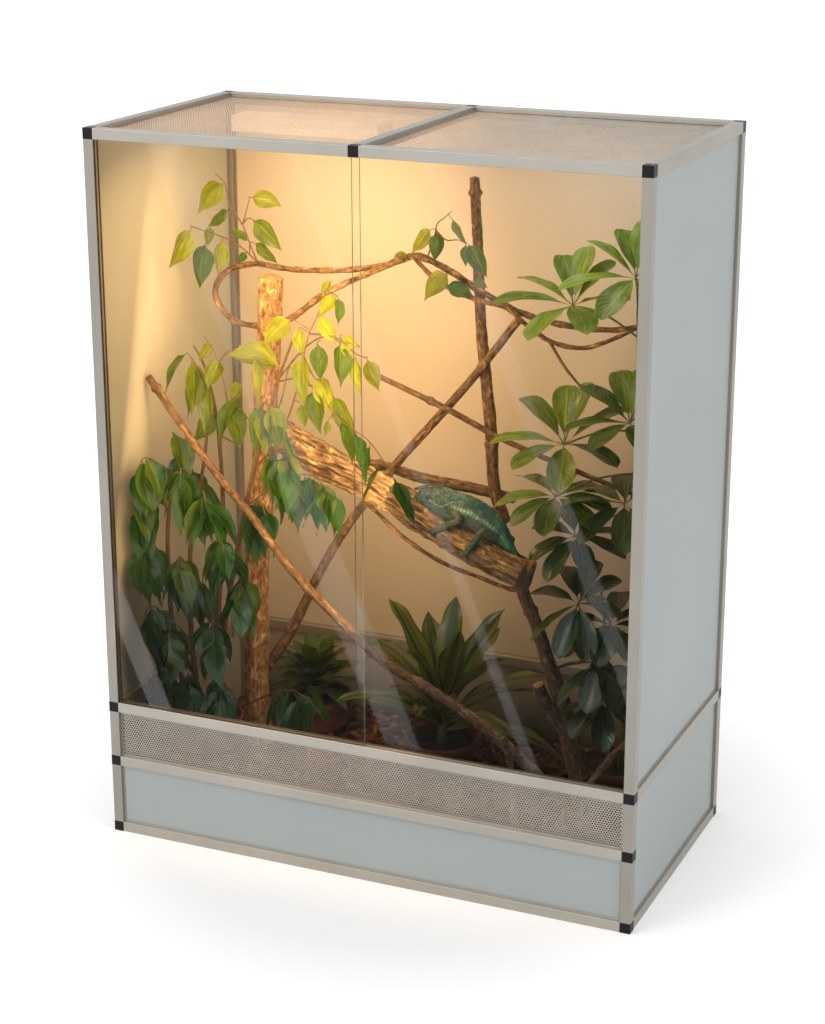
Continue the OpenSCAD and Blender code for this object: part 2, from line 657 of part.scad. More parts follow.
module top_connectors() {
  for (s = [-1, 1]) {
    difference() {
      connector([s*post_x, -post_y, top_z]) {
        spigot([-s, 0, 0], [0, 0, -1], lift_channel_h);
        spigot([0, 1, 0]);
        spigot([0, 0, -1], [-s, 0, 0], channel_h);
      }
      translate([s*post_x, -post_y, top_z]) channel_ends(s, -1, lift_channel_h);
    }
    connector([s*post_x, post_y, top_z]) {
      spigot([-s, 0, 0]);
      spigot([0, -1, 0]);
      spigot([0, 0, -1]);
    }
  }
}
module roof_tee_connectors() {
  difference() {
    connector([0, -post_y, top_z]) {
      for (s = [-1, 1]) spigot([s, 0, 0], [0, 0, -1], lift_channel_h);
      spigot([0, 1, 0]);
    }
    for (c = [front_channel, back_channel])
      translate([0, c - post_y, top_z - tube/2 + lift_channel_h/2 - 0.5])
        cube([tube + 1, channel_w, lift_channel_h + 1], center = true);
  }
  connector([0, post_y, top_z]) {
    for (s = [-1, 1]) spigot([s, 0, 0]);
    spigot([0, -1, 0]);
  }
}

// Panels and sheets

module side_panel(s, z0, z1) {
  color(panel_grey)
    translate([s*(post_x + panel_off) - panel_t/2, -opening_y + edge_gap, z0])
      cube([panel_t, 2*(opening_y - edge_gap), z1 - z0 - edge_gap]);
}
module back_panel(z0, z1) {
  color(panel_grey)
    translate([-opening_x + edge_gap, post_y + panel_off - panel_t/2, z0])
      cube([2*(opening_x - edge_gap), panel_t, z1 - z0 - edge_gap]);
}
module left_panel_upper() {
  side_panel(-1, sill_z + tube/2, top_z - tube/2);
}
module left_panel_lower() {
  side_panel(-1, tube, sill_z - tube/2);
}
module right_panel_upper() {
  side_panel(1, sill_z + tube/2, top_z - tube/2);
}
module right_panel_lower() {
  side_panel(1, tube, sill_z - tube/2);
}
module back_panel_upper() {
  back_panel(sill_z + tube/2, top_z - tube/2);
}
module back_panel_lower() {
  back_panel(tube, sill_z - tube/2);
}
module front_panel() {
  color(panel_grey)
    translate([-opening_x + edge_gap, -post_y - panel_off - panel_t/2, tube])
      cube([2*(opening_x - edge_gap), panel_t, front_panel_h - edge_gap]);
}
module floor_panel() {
  color(panel_grey)
    translate([-opening_x + edge_gap, -opening_y + edge_gap, floor_top - panel_t])
      cube([2*(opening_x - edge_gap), 2*(opening_y - edge_gap), panel_t]);
}
// Perforated rectangle from its middle, holes in staggered rows clear of the edges
module perforated(w, h, hole, pitch) {
  row = pitch*sin(60);
  rim = fin_h + hole/2 + 1;
  rows = floor((h - 2*rim)/row);
  cols = floor((w - 2*rim - pitch/2)/pitch);
  linear_extrude(sheet_t) difference() {
    square([w, h], center = true);
    for (j = [0 : rows], i = [0 : cols])
      translate([(i - cols/2 + (j%2 - 0.5)/2)*pitch, (j - rows/2)*row]) circle(d = hole);
  }
}
module vent_strip() {
  color(aluminium)
    translate([0, -post_y - sheet_off + sheet_t/2, (vent_z + sill_z)/2 - edge_gap/2])
      rotate([90, 0, 0])
        perforated(2*(opening_x - edge_gap), vent_h - edge_gap, vent_hole_d, vent_pitch);
}
module roof_sheet(s) {
  color(aluminium)
    translate([s*(opening_x + tube/2)/2, 0, roof_sheet_z])
      perforated(opening_x - tube/2 - 2*edge_gap, 2*(opening_y - edge_gap), roof_hole_d, roof_pitch);
}
module left_roof_sheet() {
  roof_sheet(-1);
}
module right_roof_sheet() {
  roof_sheet(1);
}

// Doors

module glass_door(s, channel) {
  x0 = s < 0 ? -door_edge : -door_overlap/2;
  color(glass_tint)
    translate([x0, -post_y + channel - glass_t/2, door_z0])
      cube([door_edge + door_overlap/2, glass_t, door_z1 - door_z0]);
}
module left_glass_door() {
  glass_door(-1, front_channel);
}
module right_glass_door() {
  glass_door(1, back_channel);
}

// Heat lamp under the left roof sheet
module lamp_housing() {
  color("dimgray") translate([lamp_at[0], lamp_at[1], roof_sheet_z - lamp_h/2]) difference() {
    cube([lamp_l, lamp_w, lamp_h], center = true);
    translate([0, 0, -lamp_wall])
      cube([lamp_l - 2*lamp_wall, lamp_w - 2*lamp_wall, lamp_h], center = true);
  }
}
module lamp_diffuser() {
  color("moccasin") translate([lamp_at[0], lamp_at[1], roof_sheet_z - lamp_h + lamp_wall + diffuser_t/2])
    cube([lamp_l - 2*lamp_wall, lamp_w - 2*lamp_wall, diffuser_t], center = true);
}

// Planting

// Height of the bark's surface above its mean
function bark_bump(x, y) = 5*sin(x*0.9 + 40*sin(y*1.1)) + 4*sin(y*1.7 - x*0.5);
module bark_block(nx, ny) {
  w = inside_w - 2*(fin_h + edge_gap);
  d = inside_d - 2*(fin_h + edge_gap);
  top = [for (j = [0 : ny]) for (i = [0 : nx]) let(x = w*(i/nx - 0.5), y = d*(j/ny - 0.5))
    [x, y, bark_top + bark_bump(x*layout_w/inside_w, y*layout_d/inside_d)]];
  low = [for (p = top) [p[0], p[1], floor_top]];
  n = (nx + 1)*(ny + 1);
  edge = concat([for (i = [0 : nx - 1]) i], [for (j = [0 : ny - 1]) j*(nx + 1) + nx],
    [for (i = [nx : -1 : 1]) ny*(nx + 1) + i], [for (j = [ny : -1 : 1]) j*(nx + 1)]);
  polyhedron(concat(top, low), concat(
    [for (j = [0 : ny - 1]) for (i = [0 : nx - 1]) let(a = j*(nx + 1) + i, b = a + nx + 1)
      each [[a, b, a + 1], [a + 1, b, b + 1]]],
    [for (k = [0 : len(edge) - 1]) let(a = edge[k], b = edge[(k + 1)%len(edge)])
      each [[a, b, n + a], [b, n + b, n + a]]],
    [[for (k = [0 : len(edge) - 1]) n + edge[k]]]
  ));
}
// One chip of bark, a flat hull of two slips
module bark_chip(k) {
  x = (scatter(k, 1) - 0.5)*(inside_w - 90);
  y = (scatter(k, 2) - 0.5)*(inside_d - 90);
  l = 22 + 20*scatter(k, 3);
  translate([x, y, bark_top + bark_bump(x*layout_w/inside_w, y*layout_d/inside_d)])
    rotate([20*scatter(k, 4) - 10, 20*scatter(k, 5) - 10, 360*scatter(k, 6)]) hull() {
      cube([l, 9, 5], center = true);
      translate([3, 0, 0]) cube([l*0.6, 17, 4], center = true);
    }
}
module bark_bed() {
  color(bark_brown) difference() {
    union() {
      bark_block(14, 7);
      for (k = [1 : bark_chips]) bark_chip(k);
    }
    for (p = POTS) at_pot(p) pot_outside(0.4);
    wood(0.4);
  }
}
// The branches that stand in or lie on the bark
module wood(grow = 0) {
  trunk_wood(grow);
  diagonal_wood(grow);
  upright_wood(grow);
  support_wood(grow);
  short_wood(grow);
}
module trunk_wood(grow = 0) {
  branch(route(TRUNK, trunk_d), 3, 10, 0.12, grow);
}
module fork_wood(grow = 0) {
  branch(route(FORK, fork_d), 3, 8, 0.12, grow);
}
module diagonal_wood(grow = 0) {
  branch(route(DIAGONAL, diagonal_d), 2, 8, 0.12, grow);
}
module cross_wood(grow = 0) {
  branch(route(CROSS, cross_d), 3, 8, 0.12, grow);
}
module upright_wood(grow = 0) {
  branch(route(UPRIGHT, upright_d), 2, 8, 0.12, grow);
}
module support_wood(grow = 0) {
  branch(route(SUPPORT, support_d), 2, 8, 0.12, grow);
}
module slant_wood(grow = 0) {
  branch(route(SLANT, slant_d), 2, 6, 0.12, grow);
}
module short_wood(grow = 0) {
  branch(route(STICK_A, short_stick_d), 2, 6, 0.12, grow);
  branch(route(STICK_B, short_stick_d), 2, 6, 0.12, grow);
}
module upright_trunk() {
  color(wood_brown) trunk_wood();
}
module forked_branch() {
  color(wood_brown) difference() {
    fork_wood();
    trunk_wood(-2);
  }
}
module climbing_log() {
  color(wood_brown) branch(route(LOG, log_d), 2, 12, 0.16);
}
module diagonal_branch() {
  color(wood_brown) diagonal_wood();
}
module cross_branch() {
  color(wood_brown) cross_wood();
}
module upright_stick() {
  color(wood_brown) upright_wood();
}
module log_support() {
  color(wood_brown) {
    support_wood();
    branch(route(SUPPORT_FORK, support_d), 2, 8);
  }
}
module slanting_stick() {
  color(wood_brown) slant_wood();
}
module vines() {
  color(wood_brown) for (v = [VINE_LOOP, VINE_UPPER, VINE_LOWER, VINE_SPUR, VINE_UNDER])
    branch(route(v, vine_d), 2, 6);
}
module short_sticks() {
  color(wood_brown) short_wood();
}

// Pots
module at_pot(p) {
  translate([p[0]*inside_w/layout_w, p[1]*inside_d/layout_d, pot_z]) children();
}
module pot_outside(grow = 0) {
  cylinder(h = pot_h, d1 = pot_foot_d + 2*grow, d2 = pot_d - 8 + 2*grow, $fn = 40);
}
module plant_pots() {
  color(terracotta) for (p = POTS) at_pot(p) difference() {
    union() {
      pot_outside();
      translate([0, 0, pot_h - pot_rim_h]) cylinder(h = pot_rim_h, d = pot_d);
    }
    translate([0, 0, pot_wall])
      cylinder(h = pot_h, d1 = pot_foot_d - 2*pot_wall, d2 = pot_d - 8 - pot_wall);
  }
}
module potting_soil() {
  depth = pot_h - pot_wall - soil_drop;
  foot = pot_foot_d - 2*pot_wall;
  slope = (pot_d - 8 - pot_wall - foot)/pot_h;
  color(soil_brown) for (p = POTS) at_pot(p) translate([0, 0, pot_wall])
    cylinder(h = depth, d1 = foot - 1, d2 = foot - 1 + slope*depth);
}

// Fig
fig_carriers = concat(FIG_STEMS, [VINE_LOOP, VINE_UPPER]);
// A twig's points, from the middle of what carries it
function twig(t) =
  concat([along([for (q = fig_carriers[t[0]]) fit(q)], 0.999*t[1])], [for (q = t[2]) fit(q)]);
module twig_stem(p, d) {
  branch([for (i = [0 : len(p) - 1]) concat(p[i], [d*(1 - 0.5*i/(len(p) - 1))/2])], 1, 4, 0);
}
// A bud at the end of a twig, l long
module bud(p, l) {
  translate(p) hull() {
    cylinder(h = l*0.4, d = l*0.4, $fn = 3);
    translate([0, 0, l*0.8]) cylinder(h = l*0.2, d = l*0.1, $fn = 3);
  }
}
module fig_stems() {
  color(stem_brown) {
    for (s = FIG_STEMS) branch([for (q = s) concat(fit(q), [q[3]/2])], 2, 6, 0.08);
    for (t = FIG_TWIGS) twig_stem(twig(t), fig_twig_d);
    for (i = [0 : buds - 1]) let(p = twig(FIG_TWIGS[i])) bud(p[len(p) - 1] - [0, 0, 1], 9);
  }
}
module fig_leaves() {
  color(fig_green) for (i = [0 : len(FIG_TWIGS) - 1]) {
    p = twig(FIG_TWIGS[i]);
    n = FIG_TWIGS[i][3];
    if (i < buds) bud(p[len(p) - 1] - [0, 0, 8], 8);
    for (j = [0 : n - 1]) {
      b = along(p, 0.25 + 0.75*(j + 1)/n);
      fall = 52 + 28*scatter(i, j);
      turn = (j%2 == 0 ? 1 : -1)*(12 + 76*scatter(j, i + 7)) - 90;
      h = clear_heading(b, turn, fig_leaf_l*cos(fall) + fig_leaf_w/2);
      blade(b, h, fall, 40*scatter(i + 3, j) - 20, fig_leaf_l*(0.8 + 0.3*scatter(j, i)), fig_leaf_w,
        fig_shape, 0.12);
    }
  }
}

// Middle of a pot's soil, just under its surface
function soil_at(k) = let(p = fit([POTS[k][0], POTS[k][1], 0])) [p[0], p[1], soil_z - 1];

// Striped plant: a rosette of long strap leaves that rise, arch over and hang at the tips
module striped_plant() {
  at = soil_at(striped_pot);
  top = at + strap_heart;
  color("olivedrab") {
    branch([concat(at - [0, 0, 4], [10]), concat((at + top)/2, [9]), concat(top, [8])], 2, 6);
    for (i = [0 : strap_leaves - 1]) {
      share = i/(strap_leaves - 1);
      h = i*golden_turn;
      b = at + (top - at)*(0.35 + 0.65*share);
      l = strap_leaf_l*(0.8 + 0.2*scatter(i, 5));
      rise = max(24 + 50*share, wall_fall(b, h, l, inside_d/2 - strap_front));
      blade(b, h, -rise, 0, l, strap_leaf_w, strap_shape, 0.5 - 0.25*share);
    }
    for (i = [1 : buds]) bud(top + 4*[cos(45*i), sin(45*i), 0], 12);
  }
}

// Umbrella plant: wheels of leaflets on stalks
module umbrella_stems() {
  color("olivedrab") {
    for (s = UMBRELLA_STEMS) branch([for (q = s) concat(fit(q), [q[3]/2])], 2, 6, 0.06);
    for (i = [0 : len(UMBRELLA_HUBS) - 1]) {
      stem = [for (q = UMBRELLA_STEMS[UMBRELLA_JOINS[i][0]]) fit(q)];
      a = along(stem, UMBRELLA_JOINS[i][1]*0.999);
      b = fit(UMBRELLA_HUBS[i]);
      m = (a + b)/2 + [0, 0, 12];
      branch([for (q = [a, m, b]) concat(q, [umbrella_stalk_d/2])], 2, 4, 0);
      if (i < buds) bud(b, 8);
    }
  }
}
module umbrella_leaves() {
  color("forestgreen") for (i = [0 : len(UMBRELLA_HUBS) - 1]) {
    hub = UMBRELLA_HUBS[i];
    b = fit(hub);
    if (i < buds) bud(b + [0, 0, 2], 6);
    for (k = [0 : umbrella_leaflets - 1]) {
      l = umbrella_leaf_l*hub[5]*(0.8 + 0.2*scatter(i, k));
      h = 360*k/umbrella_leaflets + 40*scatter(i, 20);
      fall = 20*scatter(k, i) - 10 - hub[4] - hub[3]*sin(h);
      near = wall_fall(b, h, l);
      blade(b, h, fall < 0 ? min(fall, -near) : max(fall, near), 0, l, umbrella_leaf_w*sqrt(hub[5]),
        umbrella_shape, 0.14);
    }
  }
}
// The least slope of a leaf that keeps it clear of the walls, and of the front by more
function wall_fall(b, h, l, front = 0) =
  let(
    room_x = inside_w/2 - wall_gap - abs(b[0]),
    room_y = inside_d/2 - wall_gap - (sin(h) < 0 ? front : 0) - b[1]*sign(sin(h)),
    out_x = cos(h)*sign(b[0]),
    share = min(1, out_x > 0 ? room_x/(l*out_x) : 1, room_y/max(0.001, l*abs(sin(h))))
  )
  acos(max(0, share));

// Shade plant: a low rosette of dark leaves
module shade_plant() {
  at = soil_at(shade_pot);
  color("darkgreen") {
    branch([concat(at - [0, 0, 4], [6]), concat(at + shade_heart*0.45, [5]),
      concat(at + shade_heart, [4])], 1, 6);
    for (i = [0 : shade_leaves - 1]) {
      share = i/(shade_leaves - 1);
      h = i*golden_turn;
      b = at + shade_heart*(0.24 + 0.73*share);
      l = shade_leaf_l*(0.75 + 0.25*scatter(i, 9));
      rise = max(24 + 44*share, wall_fall(b, h, l, inside_d/2 - shade_front));
      blade(b, h, -rise, 0, l, shade_leaf_w, strap_shape, 0.55 - 0.2*share);
    }
    for (i = [1 : buds]) bud(at + shade_heart*0.94 + 3*[cos(45*i), sin(45*i), 0], 10);
  }
}

// Lizard on the log. Stations from the snout to the tail's tip: place, half width, half height
LIZARD = [[20, -62, 694, 0.1, 0.12], [28, -62, 699, 0.24, 0.3], [42, -62, 703, 0.34, 0.48],
  [62, -62, 702, 0.42, 0.68], [76, -62, 698, 0.38, 0.58], [95, -62, 692, 0.4, 0.64],
  [119, -62, 680, 0.46, 0.86], [145, -62, 668, 0.5, 1], [171, -62, 654, 0.5, 1.04],
  [194, -62, 636, 0.4, 0.8], [212, -62, 619, 0.3, 0.52], [226, -58, 606, 0.22, 0.32],
  [236, -42, 594, 0.17, 0.22], [238, -24, 578, 0.13, 0.16], [230, -14, 558, 0.1, 0.12],
  [216, -12, 546, 0.08, 0.1], [204, -16, 552, 0.06, 0.08], [204, -20, 564, 0.04, 0.05]];
LIZARD_LEGS = [[[96, -66, 684], [113, -84, 660], [66, -86, 638]],
  [[186, -68, 640], [166, -88, 652], [138, -90, 604]],
  [[104, -56, 684], [124, -40, 664], [92, -34, 648]], [[192, -58, 636], [206, -40, 628], [180, -34, 610]]];
LIZARD_EYE = [66, -62, 706];
lizard_eye_d = 14;
module lizard() {
  c = [for (q = LIZARD) concat(fit(q), [lizard_h*q[3]/2, lizard_h*q[4]/2])];
  color("teal") {
    u = sideways(c);
    skin([for (i = [0 : len(c) - 1]) let(v = cross(tangent(c, i), u[i]))
      [for (k = [0 : 9]) centre(c[i]) + cos(36*k)*c[i][4]*u[i] + sin(36*k)*c[i][3]*v]]);
    for (l = LIZARD_LEGS) for (k = [0, 1]) hull() {
      translate(fit(l[k])) sphere(d = 12 - 2*k, $fn = 6);
      translate(fit(l[k + 1])) sphere(d = 9 - k, $fn = 6);
    }
    for (s = [-1, 1]) translate(fit(LIZARD_EYE) + [0, s*lizard_h*0.16, 0]) sphere(d = lizard_eye_d, $fn = 8);
  }
}

front_bottom_rail();
back_bottom_rail();
side_bottom_rails();
front_vent_rail();
door_sill_rail();
side_middle_rails();
back_middle_rail();
front_top_rails();
back_top_rails();
side_top_rails();
roof_crossbar();
front_lower_posts();
front_middle_posts();
front_left_post();
front_right_post();
back_lower_posts();
back_left_post();
back_right_post();
bottom_connectors();
vent_connectors();
middle_connectors();
top_connectors();
roof_tee_connectors();
left_panel_upper();
left_panel_lower();
right_panel_upper();
right_panel_lower();
back_panel_upper();
back_panel_lower();
front_panel();
floor_panel();
vent_strip();
left_roof_sheet();
right_roof_sheet();
left_glass_door();
right_glass_door();
lamp_housing();
lamp_diffuser();
bark_bed();
upright_trunk();
forked_branch();
climbing_log();
diagonal_branch();
cross_branch();
upright_stick();
log_support();
slanting_stick();
vines();
short_sticks();
plant_pots();
potting_soil();
fig_stems();
fig_leaves();
striped_plant();
umbrella_stems();
umbrella_leaves();
shade_plant();
lizard();
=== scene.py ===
"""Looks of a tall planted terrarium for a climbing lizard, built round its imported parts.

Lengths in the tables are millimetres, in the frame of the cabinet: x to the right, front
towards -y, z up from the floor. Everything made from them is in metres.
"""

import itertools
import math

import bpy
import numpy as np
from bpy.props import FloatProperty, FloatVectorProperty, IntProperty, PointerProperty
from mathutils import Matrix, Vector


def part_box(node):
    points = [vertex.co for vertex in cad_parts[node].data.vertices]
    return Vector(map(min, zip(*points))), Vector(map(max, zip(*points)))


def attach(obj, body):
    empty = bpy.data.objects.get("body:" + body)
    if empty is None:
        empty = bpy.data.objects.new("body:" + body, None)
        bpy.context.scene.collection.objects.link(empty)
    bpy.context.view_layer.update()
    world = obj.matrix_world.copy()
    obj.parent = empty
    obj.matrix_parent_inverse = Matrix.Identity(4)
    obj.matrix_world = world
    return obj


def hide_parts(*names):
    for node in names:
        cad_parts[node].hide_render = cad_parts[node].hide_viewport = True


bl_info = {
    "name": "Planted Terrarium",
    "version": (1, 0, 0),
    "blender": (4, 5, 0),
    "location": "View3D > Sidebar > Terrarium",
    "description": "Dresses a terrarium's parts with planting, branches, bark and a lizard",
    "category": "Add Mesh",
}

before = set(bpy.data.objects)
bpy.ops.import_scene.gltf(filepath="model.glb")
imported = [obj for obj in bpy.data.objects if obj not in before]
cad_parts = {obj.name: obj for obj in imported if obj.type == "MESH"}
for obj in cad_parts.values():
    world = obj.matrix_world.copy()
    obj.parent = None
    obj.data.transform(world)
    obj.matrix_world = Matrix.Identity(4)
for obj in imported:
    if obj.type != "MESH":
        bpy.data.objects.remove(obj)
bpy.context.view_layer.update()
MM = 0.001

# Cabinet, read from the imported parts
INSIDE_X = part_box("back_panel_upper")[1].x
INSIDE_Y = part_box("back_panel_upper")[0].y
BARK_TOP = 0.11485
FLOOR_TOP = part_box("floor_panel")[1].z
FIN = 0.0045
CLEAR_X, CLEAR_Y = 0.51, 0.25
WALL_GAP = 0.012
LAMP_LOW, LAMP_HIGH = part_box("lamp_housing")

# Make-up of the pieces: counts, seeds, and lengths in millimetres
END_DOME = 0.35
LEAF_STALK = [1.8, 1.5, 1.3, 1.1]
POT_SIDES = 56
POT_CLEARANCE = 72
CHIP_CORNERS = 7
BARK_SEED, SOIL_SEED = 11, 5
SOIL_CRUMBS = 150

# Camera at the main view
CAMERA_PLACE = (1.61457, -3.70104, 1.96011)
CAMERA_TURN = (71.93, 0.098, 23.668)
CAMERA_LENS, CAMERA_SENSOR = 79.10, 36

# Routes of the branches: x, y, z and diameter as a share of the branch's own
TRUNK = [[-330, -20, 105, 1.12], [-341, -20, 210, 1.02], [-338, -20, 339, 0.98],
         [-333, -20, 507, 0.96], [-316, -20, 673, 0.96], [-307, -20, 833, 0.95],
         [-299, -15, 951, 0.96], [-294, -10, 1069, 0.94]]
FORK = [[-335, -2, 264, 1.5], [-276, 8, 359, 1.25], [-215, 22, 489, 1.05], [-154, 34, 596, 1],
        [-57, 54, 727, 0.95], [1, 64, 797, 0.95], [77, 76, 890, 0.92], [167, 87, 1012, 0.9]]
LOG = [[-278, -44, 780, 0.96], [-205, -46, 749, 1.04], [-158, -46, 729, 1],
       [-52, -50, 694, 0.98], [52, -55, 646, 0.96], [154, -60, 603, 0.93], [240, -65, 572, 0.9]]
DIAGONAL = [[-511, -106, 879, 0.85], [-438, -115, 794, 0.85], [-367, -124, 716, 0.88],
            [-283, -135, 640, 0.9], [-195, -146, 547, 0.92], [-107, -157, 479, 0.95],
            [1, -171, 405, 1], [108, -185, 368, 1.05], [213, -198, 322, 1.15],
            [296, -209, 272, 1.2], [390, -222, 205, 1.2], [478, -232, 126, 1.15]]
CROSS = [[-137, 68, 704, 0.8], [-93, 78, 698, 0.9], [-32, 92, 680, 1], [64, 112, 666, 1],
         [136, 122, 654, 0.95], [148, 123, 653, 0.95]]
UPRIGHT = [[71, 100, 1264, 0.8], [79, 100, 1132, 0.85], [87, 100, 981, 0.9],
           [106, 100, 809, 1], [114, 100, 691, 1], [126, 100, 643, 1.05], [139, 100, 611, 1]]
SUPPORT = [[366, -62, 105, 1.15], [355, -60, 190, 1.05], [334, -60, 268, 1],
           [317, -60, 335, 0.82], [292, -60, 401, 0.72], [266, -62, 477, 0.64],
           [240, -65, 538, 0.62], [248, -68, 568, 0.55], [261, -70, 600, 0.4]]
SUPPORT_FORK = [[332, -62, 275, 0.8], [296, -80, 330, 0.66], [282, -92, 372, 0.55]]
SLANT = [[-97, 30, 892, 0.9], [35, 48, 838, 1], [104, 80, 794, 1], [173, 92, 764, 0.95],
         [356, 120, 700, 0.8], [517, 146, 652, 0.7]]
VINE_LOOP = [[-308, -4, 974, 1], [-387, 20, 970, 1], [-432, 32, 1002, 1.05],
             [-439, 40, 1033, 1.05], [-413, 46, 1064, 1], [-356, 48, 1080, 0.95],
             [-281, 48, 1076, 0.95], [-177, 50, 1082, 0.95], [-84, 50, 1100, 0.95],
             [-30, 50, 1121, 1]]
VINE_UPPER = [[-290, -6, 984, 1], [-263, 8, 991, 1], [-205, 20, 1036, 1.1],
              [-158, 30, 1063, 1.05], [-90, 40, 1095, 1], [-30, 50, 1121, 1.1],
              [20, 66, 1103, 1.1], [83, 82, 1064, 1.1], [144, 80, 1036, 1.05],
              [209, 90, 1014, 1], [285, 95, 1005, 1], [343, 95, 1006, 0.95],
              [396, 90, 1018, 0.9], [517, 76, 1044, 0.8]]
VINE_LOWER = [[-29, 48, 1121, 0.8], [16, 52, 1079, 0.8], [82, 60, 1050, 0.8],
              [149, 68, 1035, 0.8], [187, 72, 1006, 0.8], [235, 76, 978, 0.8],
              [291, 80, 971, 0.75], [338, 84, 986, 0.7], [396, 88, 1017, 0.65]]
VINE_SPUR = [[231, 76, 980, 0.6], [262, 66, 940, 0.5], [300, 56, 905, 0.4]]
VINE_UNDER = [[-118, -36, 700, 0.7], [-109, -8, 659, 0.7], [-27, -16, 598, 0.7],
              [60, -25, 559, 0.7], [148, -44, 546, 0.7], [205, -60, 540, 0.7],
              [236, -66, 541, 0.7]]
STICK_A = [[262, -215, 312, 1], [280, -220, 257, 1], [290, -228, 172, 1], [294, -232, 108, 1]]
STICK_B = [[505, -142, 344, 0.9], [457, -170, 294, 1], [423, -190, 244, 1],
           [372, -212, 160, 1], [350, -222, 108, 1]]

# Middles of the pots: fig, striped plant, umbrella plant, shade plant
POTS = [[-428, -70], [45, 15], [395, 40], [-275, 112]]
STRIPED_POT, SHADE_POT = 1, 3
POT_Z, POT_H, POT_D, POT_FOOT_D, POT_RIM_H, POT_WALL, SOIL_DROP = 72.85, 112, 150, 112, 16, 3, 14

# Fig stems out of the pot, with their diameters
FIG_STEMS = [
    [[-436, -76, 165, 12], [-446, -90, 350, 11], [-436, -100, 540, 9], [-410, -88, 700, 7],
     [-398, -80, 800, 5]],
    [[-418, -62, 165, 12], [-402, -58, 400, 11], [-386, -56, 600, 9], [-392, -56, 780, 7],
     [-411, -62, 891, 5], [-440, -55, 935, 3]],
    [[-408, -84, 165, 12], [-372, -92, 380, 11], [-322, -102, 600, 9], [-278, -108, 760, 8],
     [-240, -92, 900, 6], [-215, -75, 980, 4]],
    [[-446, -96, 165, 11], [-468, -120, 360, 10], [-470, -128, 560, 8], [-456, -122, 700, 6]],
]
